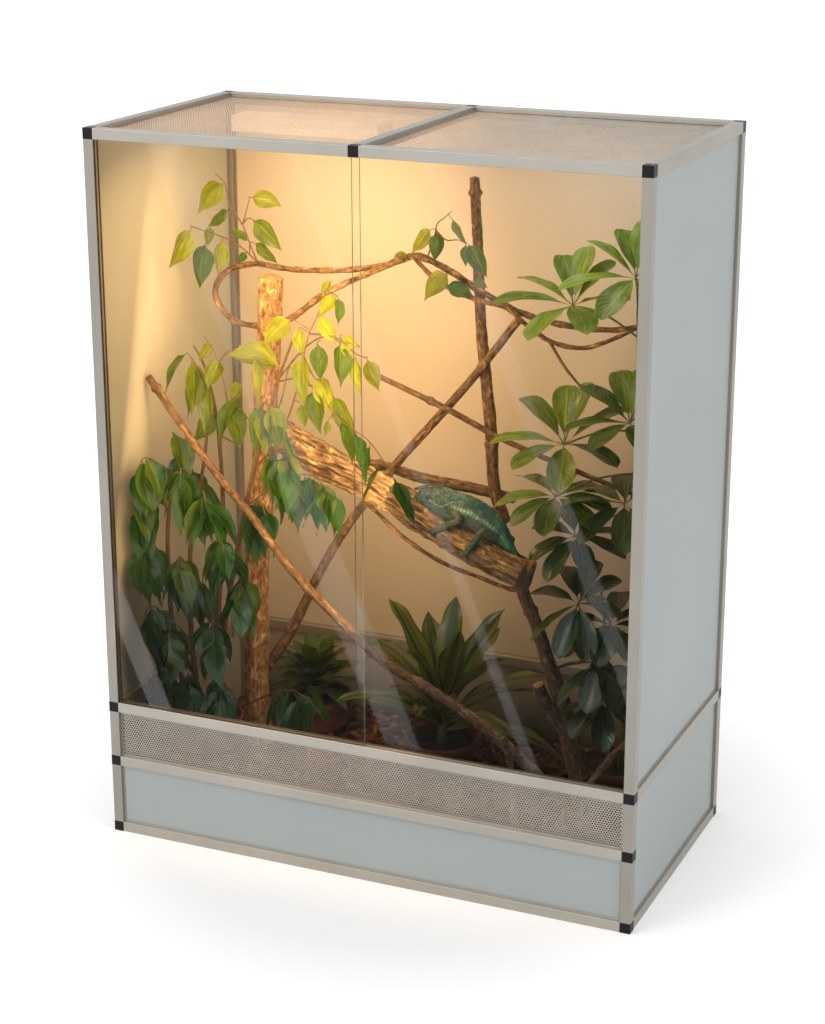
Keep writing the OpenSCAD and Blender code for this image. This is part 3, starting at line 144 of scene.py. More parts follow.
# Leafy twigs: the stem or vine that carries it, how far along that, its points, its leaves.
# Where none is named, the nearest stem, vine or earlier twig carries it.
FIG_TWIGS = [
    (3, 1, [[-468, -150, 722], [-484, -178, 742], [-492, -190, 722]], 6),
    (0, 0.7, [[-420, -140, 712], [-405, -180, 728], [-398, -196, 700]], 7),
    (3, 0.8, [[-484, -160, 660], [-492, -186, 668], [-494, -200, 640]], 5),
    (2, 0.36, [[-372, -150, 668], [-352, -190, 690], [-340, -202, 664]], 7),
    (3, 0.55, [[-480, -160, 560], [-490, -190, 566], [-490, -202, 540]], 6),
    (0, 0.44, [[-428, -150, 540], [-412, -190, 552], [-404, -204, 526]], 7),
    (2, 0.3, [[-346, -150, 590], [-322, -184, 604], [-308, -200, 578]], 6),
    (3, 0.35, [[-478, -160, 432], [-486, -188, 440], [-490, -204, 412]], 5),
    (0, 0.24, [[-446, -150, 400], [-436, -190, 408], [-432, -206, 380]], 7),
    (2, 0.16, [[-366, -150, 420], [-346, -184, 432], [-334, -202, 402]], 6),
    (3, 0.12, [[-474, -140, 300], [-486, -176, 306], [-490, -200, 284]], 5),
    (0, 0.1, [[-420, -150, 300], [-400, -186, 308], [-386, -204, 284]], 6),
    (2, 0.08, [[-366, -130, 300], [-340, -170, 312], [-326, -196, 290]], 5),
    (2, 0.24, [[-320, -120, 500], [-300, -150, 512], [-296, -170, 486]], 5),
    (1, 0.35, [[-440, -40, 640], [-470, -30, 680], [-490, -30, 670]], 4),
    (1, 0.15, [[-450, -20, 420], [-480, -10, 450], [-494, -10, 430]], 4),
    (3, 0.03, [[-470, -150, 240], [-486, -190, 248], [-492, -206, 236]], 4),
    (1, 0.6, [[-402, -70, 850], [-422, -80, 905], [-440, -80, 926]], 4),
    (1, 0.44, [[-366, -90, 760], [-340, -100, 846], [-312, -104, 862]], 2),
    (1, 0.36, [[-430, -80, 680], [-448, -100, 756], [-462, -110, 776]], 5),
    (1, 0.78, [[-380, -80, 905], [-340, -92, 945], [-290, -96, 940]], 1),
    (2, 0.6, [[-236, -100, 850], [-214, -98, 930], [-184, -100, 958]], 1),
    (2, 0.8, [[-192, -80, 960], [-142, -84, 988], [-94, -92, 968]], 0),
    (2, 0.79, [[-186, -90, 900], [-112, -98, 836], [-52, -98, 800], [-4, -98, 736]], 3),
    (2, 0.45, [[-222, -118, 712], [-162, -122, 730], [-122, -124, 700]], 7),
    (2, 0.35, [[-302, -112, 620], [-280, -110, 662], [-262, -106, 640]], 4),
    (2, 0.55, [[-250, -130, 760], [-205, -150, 776], [-176, -160, 748]], 6),
    (2, 0.7, [[-262, -130, 850], [-236, -150, 868], [-214, -160, 836]], 5),
    (2, 0.03, [[-250, -140, 282], [-186, -176, 316], [-140, -190, 312]], 5),
    (None, 0, [[-332, 8, 1095], [-362, 8, 1162], [-388, 8, 1195], [-396, 8, 1236],
                [-417, 8, 1254]], 0),
    (None, 0, [[-362, 8, 1162], [-357, 8, 1175], [-345, 8, 1214]], 0),
    (None, 0, [[-362, 8, 1162], [-353, 8, 1173], [-344, 8, 1175]], 0),
    (None, 0, [[-334, 8, 1095], [-376, 8, 1125], [-416, 8, 1138], [-445, 8, 1144],
                [-474, 8, 1152]], 0),
    (None, 0, [[-348, 8, 1107], [-347, 8, 1130]], 0),
    (None, 0, [[19, 36, 1164], [24, 36, 1187], [39, 36, 1200], [53, 36, 1213]], 0),
    (None, 0, [[23, 36, 1174], [42, 36, 1159], [64, 36, 1161], [80, 36, 1156]], 0),
    (None, 0, [[-137, -96, 1075], [-157, -96, 1027], [-174, -96, 992], [-186, -96, 949],
                [-190, -96, 922], [-224, -96, 822]], 0),
    (None, 0, [[-174, -96, 992], [-138, -96, 993], [-110, -96, 986], [-82, -96, 965],
                [-58, -96, 958]], 0),
    (None, 0, [[-186, -96, 949], [-166, -96, 912], [-147, -96, 905], [-131, -96, 885]], 0),
    (None, 0, [[-338, -84, 767], [-355, -84, 844], [-364, -84, 891], [-382, -84, 938],
                [-402, -84, 965]], 0),
]
# Single fig leaves: stalk x, y, z, tip x, z and how fresh its green is
FIG_LEAVES = [
    [-396, 8, 1240, -457, 1179, 0.8], [-345, 8, 1215, -277, 1205, 0.8],
    [-389, 8, 1189, -438, 1153, 0.35], [-344, 8, 1175, -280, 1121, 0.5],
    [-432, -60, 1164, -484, 1085, 0.8], [-429, 8, 1154, -438, 1115, 0.55],
    [-441, 8, 1123, -458, 1033, 0.25], [-406, 8, 1130, -418, 1061, 0.8],
    [-347, 8, 1130, -392, 1146, 0.4], [-341, 8, 1130, -288, 1094, 0.4],
    [-354, 8, 1110, -374, 1087, 0.2], [15, 36, 1178, -28, 1129, 0.9],
    [23, 36, 1174, 18, 1117, 0.3], [51, 36, 1201, 82, 1155, 0.45], [83, 36, 1157, 124, 1098, 0.3],
    [80, 36, 1155, 81, 1114, 0.5], [50, 36, 1100, -2, 1044, 0.8], [-31, 36, 1123, -64, 1119, 0.7],
    [40, 36, 1075, 98, 1061, 0.2], [94, 36, 1089, 125, 1078, 0.4],
    [-128, -96, 1096, -151, 1068, 0.7], [-115, -96, 1069, -153, 1027, 0.9],
    [-115, -96, 1067, -116, 1015, 0.25], [-156, -96, 1028, -121, 978, 1],
    [-193, -96, 1003, -189, 949, 0.95], [-158, -96, 978, -153, 907, 0.3],
    [-111, -96, 986, -112, 899, 0.3], [-110, -96, 997, -69, 977, 1],
    [-108, -96, 988, -93, 950, 0.9], [-82, -96, 965, -70, 887, 0.8],
    [-58, -96, 958, -34, 900, 0.85], [-210, -96, 924, -173, 893, 0.85],
    [-166, -96, 912, -129, 845, 0.9], [-166, -96, 892, -154, 807, 0.35],
    [-131, -96, 885, -81, 803, 0.5], [-146, -96, 914, -133, 886, 0.6],
    [-194, -96, 859, -185, 814, 0.6], [-138, -96, 832, -145, 800, 0.6],
    [-208, -96, 1017, -271, 963, 0.95], [-234, -96, 923, -346, 939, 0.85],
    [-233, -96, 919, -322, 958, 0.9], [-365, -84, 924, -397, 861, 0.7],
    [-382, -84, 950, -413, 916, 0.7], [-324, -84, 884, -346, 833, 0.7],
    [-380, -84, 817, -431, 756, 0.5], [-362, -84, 825, -308, 814, 0.4],
]

# Umbrella plant: stems, then the hubs of its leaf wheels: place, tip to the front and cup
# upwards in degrees, share of the size, then the stem and the share of it that carries each
UMBRELLA_STEMS = [
    [[400, 46, 165, 13], [412, 60, 420, 11], [420, 62, 700, 9], [414, 50, 900, 7],
     [410, 40, 1062, 5]],
    [[384, 34, 165, 11], [380, 20, 340, 9], [376, -4, 500, 6], [372, -20, 560, 5]],
]
UMBRELLA_HUBS = [
    (295, 20, 1062, 34, 24, 1.04, 0, 0.9), (408, 30, 1120, 34, 28, 1, 0, 1),
    (287, 10, 806, 34, 24, 1, 0, 0.66), (408, 20, 856, 34, 26, 0.95, 0, 0.72),
    (280, -10, 712, 16, 0, 0.85, 0, 0.56), (410, -4, 712, 16, 0, 0.85, 0, 0.6),
    (320, -10, 640, 20, 0, 0.75, 0, 0.48), (346, -60, 530, 48, 0, 0.78, 1, 0.98),
    (400, -36, 488, 34, 0, 0.72, 1, 0.8), (398, -90, 432, 44, 0, 0.72, 1, 0.62),
    (398, -66, 352, 40, 0, 0.72, 1, 0.4),
]
LEAFLETS = 8
GOLDEN_TURN = 137.5

# Lizard: stations from the snout to the tail's tip with half width and half height
LIZARD = [[20, -62, 693, 0.1, 0.1], [29, -62, 691, 0.24, 0.36], [44, -62, 694, 0.34, 0.58],
          [60, -62, 695, 0.42, 0.68], [76, -62, 691, 0.42, 0.88], [95, -62, 684, 0.44, 0.95],
          [117, -62, 678, 0.48, 0.98], [133, -62, 674, 0.5, 0.98], [149, -62, 668, 0.5, 0.95],
          [165, -62, 661, 0.48, 0.9], [179, -62, 652, 0.44, 0.8], [190, -62, 643, 0.38, 0.66],
          [200, -62, 632, 0.32, 0.5], [211, -62, 618, 0.26, 0.36], [222, -60, 605, 0.2, 0.26],
          [234, -42, 592, 0.16, 0.2], [238, -24, 578, 0.13, 0.16], [230, -14, 558, 0.1, 0.12],
          [216, -12, 546, 0.08, 0.1], [204, -16, 552, 0.06, 0.08], [204, -20, 564, 0.04, 0.05]]
LIZARD_LEGS = [[[100, -68, 680], [119, -84, 667], [66, -86, 638]],
               [[189, -68, 641], [166, -88, 651], [134, -90, 604]],
               [[104, -56, 684], [124, -40, 664], [92, -34, 648]],
               [[192, -58, 636], [206, -40, 628], [180, -34, 610]]]
LIZARD_EYE = [54, -62, 702]
LIZARD_TALL = 64
LIZARD_TOES = [(-0.012, 0.006), (-0.014, 0.0), (0.010, -0.008), (0.013, -0.003), (0.006, -0.012)]
CREST_SPINES = 46

# Outlines of the leaves: share of the length, share of the half width
FIG_OUTLINE = ([0, 0.12, 0.16, 0.22, 0.32, 0.44, 0.56, 0.68, 0.8, 0.88, 0.94, 1],
               [0.03, 0.03, 0.34, 0.68, 0.93, 1, 0.95, 0.78, 0.48, 0.22, 0.1, 0.01])
UMBRELLA_OUTLINE = ([0, 0.13, 0.18, 0.3, 0.45, 0.6, 0.74, 0.86, 0.94, 0.98, 1],
                    [0.05, 0.05, 0.2, 0.56, 0.86, 1, 1, 0.86, 0.58, 0.32, 0.04])
STRAP_OUTLINE = ([0, 0.08, 0.25, 0.45, 0.62, 0.78, 0.9, 1],
                 [0.34, 0.42, 0.8, 1, 0.96, 0.74, 0.38, 0.02])


class CabinetLooks(bpy.types.PropertyGroup):
    """Finishes of the cabinet"""

    tube_colour: FloatVectorProperty(
        name="Tube", description="Colour of the aluminium tubes", subtype="COLOR",
        default=(0.39, 0.365, 0.32), min=0, max=1)
    panel_colour: FloatVectorProperty(
        name="Panel", description="Colour of the solid panels", subtype="COLOR",
        default=(0.42, 0.46, 0.455), min=0, max=1)
    inner_colour: FloatVectorProperty(
        name="Inner panel", description="Colour of the panels' inner faces", subtype="COLOR",
        default=(0.62, 0.60, 0.56), min=0, max=1)
    connector_colour: FloatVectorProperty(
        name="Connector", description="Colour of the plastic connectors", subtype="COLOR",
        default=(0.006, 0.006, 0.006), min=0, max=1)
    hole_pitch: FloatProperty(
        name="Hole pitch", description="Spacing of the holes in the perforated sheets",
        subtype="DISTANCE", default=0.005, min=0.004, max=0.02)
    hole_size: FloatProperty(
        name="Hole size", description="Diameter of the holes in the perforated sheets",
        subtype="DISTANCE", default=0.0035, min=0.001, max=0.015)


class PlantingLooks(bpy.types.PropertyGroup):
    """Sizes and colours of the planting"""

    fig_leaf_length: FloatProperty(
        name="Fig leaf length", description="Length of a fig leaf", subtype="DISTANCE",
        default=0.09, min=0.03, max=0.15)
    fig_leaf_width: FloatProperty(
        name="Fig leaf width", description="Width of a fig leaf", subtype="DISTANCE",
        default=0.042, min=0.01, max=0.08)
    umbrella_leaf_length: FloatProperty(
        name="Umbrella leaflet length", description="Length of an umbrella plant's leaflet",
        subtype="DISTANCE", default=0.146, min=0.05, max=0.2)
    umbrella_leaf_width: FloatProperty(
        name="Umbrella leaflet width", description="Width of an umbrella plant's leaflet",
        subtype="DISTANCE", default=0.052, min=0.02, max=0.08)
    strap_leaf_length: FloatProperty(
        name="Strap leaf length", description="Length of the striped plant's leaves",
        subtype="DISTANCE", default=0.32, min=0.1, max=0.35)
    strap_leaf_width: FloatProperty(
        name="Strap leaf width", description="Width of the striped plant's leaves",
        subtype="DISTANCE", default=0.054, min=0.02, max=0.08)
    bark_chips: IntProperty(
        name="Bark chips", description="Number of chips on the bark bed", default=2600,
        min=100, max=6000)
    deep_green: FloatVectorProperty(
        name="Deep green", description="Colour of shaded leaves", subtype="COLOR",
        default=(0.016, 0.072, 0.008), min=0, max=1)
    # The fig's leaves take more of this green the higher they hang, as painted light, besides a
    # random mix.
    fresh_green: FloatVectorProperty(
        name="Fresh green", description="Colour of young leaves", subtype="COLOR",
        default=(0.20, 0.26, 0.014), min=0, max=1)


class StageLooks(bpy.types.PropertyGroup):
    """Lights and floor"""

    lamp_power: FloatProperty(
        name="Lamp power", description="Power of the warm lamp under the roof",
        default=7.0, min=0, max=60, unit="POWER")
    lamp_colour: FloatVectorProperty(
        name="Lamp colour", description="Colour of the warm lamp", subtype="COLOR",
        default=(1.0, 0.56, 0.225), min=0, max=1)
    key_power: FloatProperty(
        name="Key power", description="Power of the large soft light", default=60.0,
        min=0, max=600, unit="POWER")
    sky: FloatProperty(
        name="Sky", description="Strength of the even light from all round", default=0.62,
        min=0, max=2)


# Maths


def scatter(a, b):
    """A repeatable scatter from 0 to 1, the same as in the part's source."""
    s = math.sin(math.radians(a * 127.1 + b * 311.7)) * 437.585
    return s - math.floor(s)


def noise(p, seed=0):
    """Smooth repeatable noise from -1 to 1 at each row of p."""
    cell = np.floor(p).astype(np.int64)
    f = p - cell
    f = f * f * (3 - 2 * f)
    total = np.zeros(len(p))
    for corner in itertools.product((0, 1), repeat=3):
        c = cell + corner
        h = (c[:, 0] * 374761393 + c[:, 1] * 668265263 + c[:, 2] * 974634777 + seed * 1274126177)
        h &= 0xFFFFFFFF
        h = ((h ^ (h >> 13)) * 1274126177) & 0xFFFFFFFF
        h = (h ^ (h >> 16)) & 0xFFFF
        total += np.prod(np.where(corner, f, 1 - f), 1) * h / 0xFFFF
    return 2 * total - 1


def fractal(p, octaves=4, seed=0):
    """Noise with finer and finer layers, each fainter."""
    return sum(noise(p * 2.03**k, seed + k) / 1.9**k for k in range(octaves))


def curve_at(p, i, t):
    """A point of the smooth curve through p, at t from point i to the next."""
    a, b, c, d = p[max(i - 1, 0)], p[i], p[i + 1], p[min(i + 2, len(p) - 1)]
    return 0.5 * (2 * b + (c - a) * t + (2 * a - 5 * b + 4 * c - d) * t**2
                  + (3 * b - a - 3 * c + d) * t**3)


def smooth(points, steps):
    """A smooth curve through the points."""
    p = np.array(points, float)
    line = [curve_at(p, i, k / steps) for i in range(len(p) - 1) for k in range(steps)]
    return np.array(line + [p[-1]])


def along(points, share):
    """The point at a share of a whole route."""
    p = np.array(points, float)
    n = len(p) - 1
    i = min(int(share * n), n - 1)
    return curve_at(p, i, share * n - i)


def unit(v):
    """Vectors at a length of 1."""
    v = np.asarray(v, float)
    return v / np.maximum(np.linalg.norm(v, axis=-1, keepdims=True), 1e-12)


def even_run(knots, spacing):
    """Stations along knots, spacing apart, and their places along the run."""
    run = np.r_[0, np.cumsum(np.linalg.norm(np.diff(knots[:, :3], axis=0), axis=1))]
    at = np.linspace(0, run[-1], max(4, int(run[-1] / spacing) + 1))
    return np.stack([np.interp(at, run, k) for k in knots.T], 1), at


def carried_frames(centre):
    """Sideways directions at each station, carried along so that the skin doesn't twist."""
    tangent = unit(np.gradient(centre, axis=0))
    t = tangent[0]
    u = unit(np.cross([0, 1, 0] if abs(t[1]) < 0.8 else [1, 0, 0], t))
    us = []
    for t in tangent:
        u = unit(u - np.dot(u, t) * t)
        us.append(u)
    us = np.array(us)
    return tangent, us, np.cross(tangent, us)


# Meshes


class Sculpt:
    """Points, faces and point marks of one piece, gathered part by part."""

    def __init__(self):
        self.points, self.faces, self.marks, self.count = [], [], {}, 0

    def add(self, points, faces, **marks):
        points = np.asarray(points, float).reshape(-1, 3)
        for face in faces:
            self.faces.append(np.asarray(face, int) + self.count)
        self.points.append(points)
        for name, value in marks.items():
            value = np.broadcast_to(np.asarray(value, float), (len(points), 3))
            self.marks.setdefault(name, []).append(value)
        self.count += len(points)

    def piece(self, name, finish, slot, *nodes, flat=False):
        """The finished object, riding on the cabinet in place of the nodes."""
        mesh = bpy.data.meshes.new(name)
        faces = [row for block in self.faces
                 for row in (block.tolist() if block.ndim == 2 else [block.tolist()])]
        mesh.from_pydata(np.vstack(self.points).tolist(), [], faces)
        for mark, values in self.marks.items():
            mesh.attributes.new(mark, "FLOAT_VECTOR", "POINT").data.foreach_set(
                "vector", np.vstack(values).astype(np.float32).ravel())
        mesh.polygons.foreach_set("use_smooth", [not flat] * len(mesh.polygons))
        mesh.materials.append(finish)
        mesh.update()
        obj = bpy.data.objects.new(name, mesh)
        bpy.context.scene.collection.objects.link(obj)
        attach(obj, "cabinet")
        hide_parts(*nodes)


def grid_faces(rows, cols, wrap):
    """Quads over rows of points, each row cols long, closed round if wrap."""
    k = np.arange(cols if wrap else cols - 1)
    n = (k + 1) % cols
    i = np.arange(rows - 1)[:, None] * cols
    return np.stack([i + k, i + n, i + cols + n, i + cols + k], -1).reshape(-1, 4)


def skin(sculpt, rings, **marks):
    """Rings of points joined into a skin. The ends close on their own middles."""
    rows, cols = rings.shape[:2]
    points = np.vstack([rings.reshape(-1, 3), rings[0].mean(0), rings[-1].mean(0)])
    k = np.arange(cols)
    n = (k + 1) % cols
    last = (rows - 1) * cols
    middle = np.full(cols, rows * cols)
    faces = [grid_faces(rows, cols, True), np.stack([n, k, middle], 1),
             np.stack([last + k, last + n, middle + 1], 1)]
    marks = {m: np.vstack([v, v[:cols].mean(0), v[-cols:].mean(0)])
             if np.ndim(v) == 2 else v for m, v in marks.items()}
    sculpt.add(points, faces, **marks)


def limb(sculpt, route, diameter, spacing, sides, relief, seed=0):
    """A branch along a route in millimetres. relief gives the share that the bark adds to the
    radius, from places on the straightened branch. Marks: grain, the place on the straightened
    branch in metres, and cut, with the relief, the cut face and the share along the branch."""
    knots = np.array([list(q) + [1] * (4 - len(q)) for q in route], float)
    line, at = even_run(smooth(knots, 10), spacing)
    centre, radius = line[:, :3] * MM, line[:, 3] * diameter * MM / 2
    tangent, u, v = carried_frames(centre)
    a = 2 * np.pi * np.arange(sides) / sides
    around = np.stack([np.cos(a), np.sin(a)], 1)
    mean = radius.mean()
    flat = np.concatenate([np.broadcast_to(around * mean, (len(at), sides, 2)),
                           np.broadcast_to(at[:, None, None] * MM, (len(at), sides, 1))], 2)
    rise = relief(flat.reshape(-1, 3) + seed).reshape(len(at), sides)
    reach = radius[:, None] * (1 + rise)
    rings = centre[:, None] + reach[..., None] * (
        around[None, :, :1] * u[:, None] + around[None, :, 1:] * v[:, None])
    cut = np.stack([rise, np.zeros_like(rise), np.broadcast_to((at / at[-1])[:, None],
                                                               rise.shape)], 2)
    ends = []
    for i, sign in ((0, -1), (-1, 1)):
        for share in (0.92, 0.62, 0.3):
            ring = centre[i] + (rings[i] - centre[i]) * share
            ring = ring + sign * tangent[i] * radius[i] * END_DOME * (1 - share**2)
            mark = np.tile([0.0, 1.0, share], (sides, 1))
            ends.append((ring, mark, flat[i]))
    head, tail = ends[:3][::-1], ends[3:]
    rings = np.concatenate([[e[0] for e in head], rings, [e[0] for e in tail]])
    cut = np.concatenate([[e[1] for e in head], cut, [e[1] for e in tail]])
    flat = np.concatenate([[e[2] for e in head], flat, [e[2] for e in tail]])
    skin(sculpt, rings, grain=flat.reshape(-1, 3), cut=cut.reshape(-1, 3))


def stalk(sculpt, points, thick, thin, sides, **marks):
    """A thin round stalk through points in metres."""
    line, at = even_run(smooth(points, 5), 0.008)
    _, u, v = carried_frames(line)
    a = 2 * np.pi * np.arange(sides) / sides
    r = np.linspace(thick, thin, len(at))[:, None, None] / 2
    rings = line[:, None] + r * (np.cos(a)[None, :, None] * u[:, None]
                                 + np.sin(a)[None, :, None] * v[:, None])
    skin(sculpt, rings, **marks)


def leaf(sculpt, base, heading, fall, roll, length, width, outline, tint, droop=0.12,
         arch=0.0, sway=0.0, fold=0.1, ripple=0.0, seed=0.0, rows=14, cols=6):
    """A leaf from its base point: heading and fall in degrees, roll about its rib, arch and
    sway as shares of its length. Marks: blade, with the place across and along the leaf and its
    seed, and tint, its colour."""
    h, f, r = (math.radians(x) for x in (heading, fall, roll))
    ahead = np.array([math.cos(h) * math.cos(f), math.sin(h) * math.cos(f), -math.sin(f)])
    level = np.array([-math.sin(h), math.cos(h), 0])
    side = level * math.cos(r) + np.cross(ahead, level) * math.sin(r)
    s = np.linspace(0, 1, rows + 1)
    rib = base + s[:, None] * length * ahead
    rib[:, 2] += length * (arch * s * (1 - s) * 4 - droop * s**2)
    rib += side * (sway * length * np.sin(math.pi * s))[:, None]
    run = np.tile(ahead, (rows + 1, 1))
    run[:, 2] += arch * 4 * (1 - 2 * s) - 2 * droop * s
    run += side * (sway * math.pi * np.cos(math.pi * s))[:, None]
    side = unit(side - run * (run @ side / (run**2).sum(1))[:, None])
    up = unit(np.cross(run, side))
    half = np.interp(s, *outline)[:, None] * width / 2
    u = np.linspace(-1, 1, cols + 1)[None]
    lift = 2 * fold * (np.sqrt(u**2 + 0.02) - 0.14) * half
    lift = lift + ripple * width * u**2 * np.sin(2 * math.pi * (2.3 * s[:, None] + seed) + u)
    lift = lift - 0.04 * width * np.sin(math.pi * s[:, None]) * (1 - u**2)
    points = rib[:, None] + side[:, None] * (u * half)[..., None] + up[:, None] * lift[..., None]
    blade = np.stack(np.broadcast_arrays(u, s[:, None], np.full((1, 1), seed)), -1)
    sculpt.add(points, [grid_faces(rows + 1, cols + 1, False)],
               blade=blade.reshape(-1, 3), tint=tint)


def wall_fall(b, h, length, front=0.0):
    """The least slope of a leaf that keeps it clear of the walls."""
    room_x = INSIDE_X - WALL_GAP - abs(b[0])
    room_y = CLEAR_Y - WALL_GAP - (front if math.sin(h) < 0 else 0) - b[1] * np.sign(math.sin(h))
    out_x = math.cos(h) * np.sign(b[0])
    share = min(1, room_x / (length * out_x) if out_x > 0 else 1,
                room_y / max(1e-3, length * abs(math.sin(h))))
    return math.degrees(math.acos(max(0, share)))


def clear_heading(b, h, reach):
    """The heading in degrees, turned back into the cabinet where the leaf would reach a wall."""
    x = b[0] + reach * math.cos(math.radians(h))
    h = 180 - h if abs(x) > CLEAR_X - WALL_GAP else h
    y = b[1] + reach * math.sin(math.radians(h))
    return -h if abs(y) > CLEAR_Y - WALL_GAP else h


# Finishes


class Finish:
    """A material's nodes, with a short call for each."""

    def __init__(self, name, **sockets):
        self.material = bpy.data.materials.new(name)
        self.material.use_nodes = True
        self.tree = self.material.node_tree
        self.shader = self.tree.nodes["Principled BSDF"]
        self.output = self.tree.nodes["Material Output"]
        self.set(**sockets)

    def set(self, **sockets):
        for name, value in sockets.items():
            self.feed(self.shader.inputs[name.replace("_", " ")], value)

    def feed(self, socket, value):
        if isinstance(value, bpy.types.NodeSocket):
            self.tree.links.new(value, socket)
        elif value is not None:
            if hasattr(socket.default_value, "__len__") and len(socket.default_value) == 4:
                value = (*value[:3], 1)
            socket.default_value = value

    def node(self, kind, inputs=(), out=0, **settings):
        made = self.tree.nodes.new("ShaderNode" + kind)
        for name, value in settings.items():
            setattr(made, name, value)
        for key, value in dict(inputs).items():
            self.feed(made.inputs[key], value)
        return made.outputs[out]

    def maths(self, operation, a, b=None):
        return self.node("Math", {0: a, 1: b}, operation=operation)

    def mix(self, share, a, b):
        return self.node("Mix", {0: share, 6: a, 7: b}, out=2, data_type="RGBA")

    def multiply(self, share, a, b):
        return self.node("Mix", {0: share, 6: a, 7: b}, out=2, data_type="RGBA",
                         blend_type="MULTIPLY")

    def place(self, attribute=None, stretch=(1, 1, 1)):
        source = (self.node("Attribute", attribute_name=attribute, out=1) if attribute
                  else self.node("NewGeometry", out=0))
        return self.node("Mapping", {0: source, 3: stretch}, vector_type="POINT")

    def speckle(self, place, scale, detail=3.0, roughness=0.55, distortion=0.0):
        return self.node("TexNoise", {"Vector": place, "Scale": scale, "Detail": detail,
                                      "Roughness": roughness, "Distortion": distortion})

    def steps(self, value, low, high, a=0.0, b=1.0):
        """Value from low to high, as a to b, held beyond them."""
        return self.node("MapRange", {0: value, 1: low, 2: high, 3: a, 4: b})

    def bump(self, height, distance, strength=1.0, normal=None):
        return self.node("Bump", {"Height": height, "Distance": distance,
                                  "Strength": strength, "Normal": normal})


def tube_finish(name, colour, axis):
    """Satin aluminium with faint lines along its axis."""
    stretch = [260.0] * 3
    stretch[axis] = 4.0
    f = Finish(name, Metallic=0.55, Roughness=0.42)
    lines = f.speckle(f.place(stretch=stretch), 4.0, 4.0)
    cloud = f.speckle(f.place(), 6.0)
    at = f.node("SeparateXYZ", {0: f.place()})
    y = at.node.outputs[1]
    # The rails' faces inside the cabinet, lower down, mix towards a flat beige.
    low_inside = f.maths("MULTIPLY", f.maths("LESS_THAN", f.maths("ABSOLUTE", at), INSIDE_X + 0.001),
                   f.maths("LESS_THAN", f.maths("ABSOLUTE", f.maths("SUBTRACT", y, 0.03)),
                           INSIDE_Y - 0.029))
    low_inside = f.maths("MULTIPLY", low_inside, f.steps(at.node.outputs[2], 0.7, 0.5, 0.0, 0.85))
    shade = f.mix(f.steps(cloud, 0.3, 0.7), [c * 0.93 for c in colour],
                  [min(1, c * 1.06) for c in colour])
    f.set(Base_Color=f.mix(low_inside, shade, (0.46, 0.42, 0.36)),
          Roughness=f.steps(lines, 0.3, 0.7, 0.36, 0.5), Normal=f.bump(lines, 2e-5, 0.5))
    return f.material


def connector_finish(colour):
    """Near-black moulded plastic with a fine grain and worn edges."""
    f = Finish("black_connector", Roughness=0.42, Specular_IOR_Level=0.2)
    grain = f.speckle(f.place(), 900.0, 2.0)
    worn = f.speckle(f.place(), 120.0)
    f.set(Base_Color=f.mix(f.steps(worn, 0.45, 0.75), colour, [c + 0.008 for c in colour]),
          Roughness=f.steps(worn, 0.3, 0.7, 0.36, 0.52),
          Normal=f.bump(grain, 4e-5, 0.6,
                        f.node("Bevel", {"Radius": 0.0008}, samples=4)))
    return f.material


def panel_finish(outer, inner):
    """Smooth board: pale grey-blue outside, warmer and lighter on the faces inside, and painted
    shade low down on those.
    """
    f = Finish("board", Roughness=0.5)
    place = f.place()
    at = f.node("SeparateXYZ", {0: place})
    x = f.maths("ABSOLUTE", at)
    y = f.maths("ABSOLUTE", at.node.outputs[1])
    outside = f.maths("MAXIMUM", f.maths("GREATER_THAN", x, INSIDE_X + 0.002),
                      f.maths("GREATER_THAN", y, INSIDE_Y + 0.002))
    cloud = f.steps(f.speckle(place, 3.0, 2.0), 0.3, 0.7)
    # Painted shade: the inner faces darken towards the bottom, near the bark, with a blotchy edge.
    low_inside = f.maths("ADD", at.node.outputs[2], f.maths("MULTIPLY", f.speckle(place, 9.0), 0.12))
    low_inside = f.steps(low_inside, 0.34, 0.14)
    skin_grain = f.speckle(place, 1500.0, 1.0)
    inside = f.mix(low_inside, f.mix(cloud, [c * 0.96 for c in inner], inner), (0.05, 0.035, 0.022))
    f.set(Base_Color=f.mix(outside, inside,
                           f.mix(cloud, [c * 0.97 for c in outer], [c * 1.02 for c in outer])),
          Roughness=f.steps(cloud, 0, 1, 0.42, 0.55), Normal=f.bump(skin_grain, 1.5e-5, 0.4))
    return f.material


def sheet_finish():
    """Perforated steel, dull and a little brown, with a painted orange glow round the lamp."""
    f = Finish("perforated_steel", Metallic=0.7, Roughness=0.45)
    cloud = f.speckle(f.place(), 12.0)
    f.set(Base_Color=f.mix(f.steps(cloud, 0.3, 0.7), (0.42, 0.37, 0.31), (0.52, 0.46, 0.39)),
          Normal=f.bump(f.speckle(f.place(), 700.0), 3e-5, 0.5))
    # Painted lamp light: the sheet glows orange round the lamp, in place of its light on the sheet
    # and through the holes.
    centre = [(a + b) / 2 for a, b in zip(LAMP_LOW, LAMP_HIGH)]
    away = f.node("VectorMath", {0: f.place(), 1: centre}, out=1, operation="DISTANCE")
    f.set(Emission_Color=(1.0, 0.36, 0.02), Emission_Strength=f.steps(away, 0.08, 0.42, 0.34, 0.0))
    return f.material


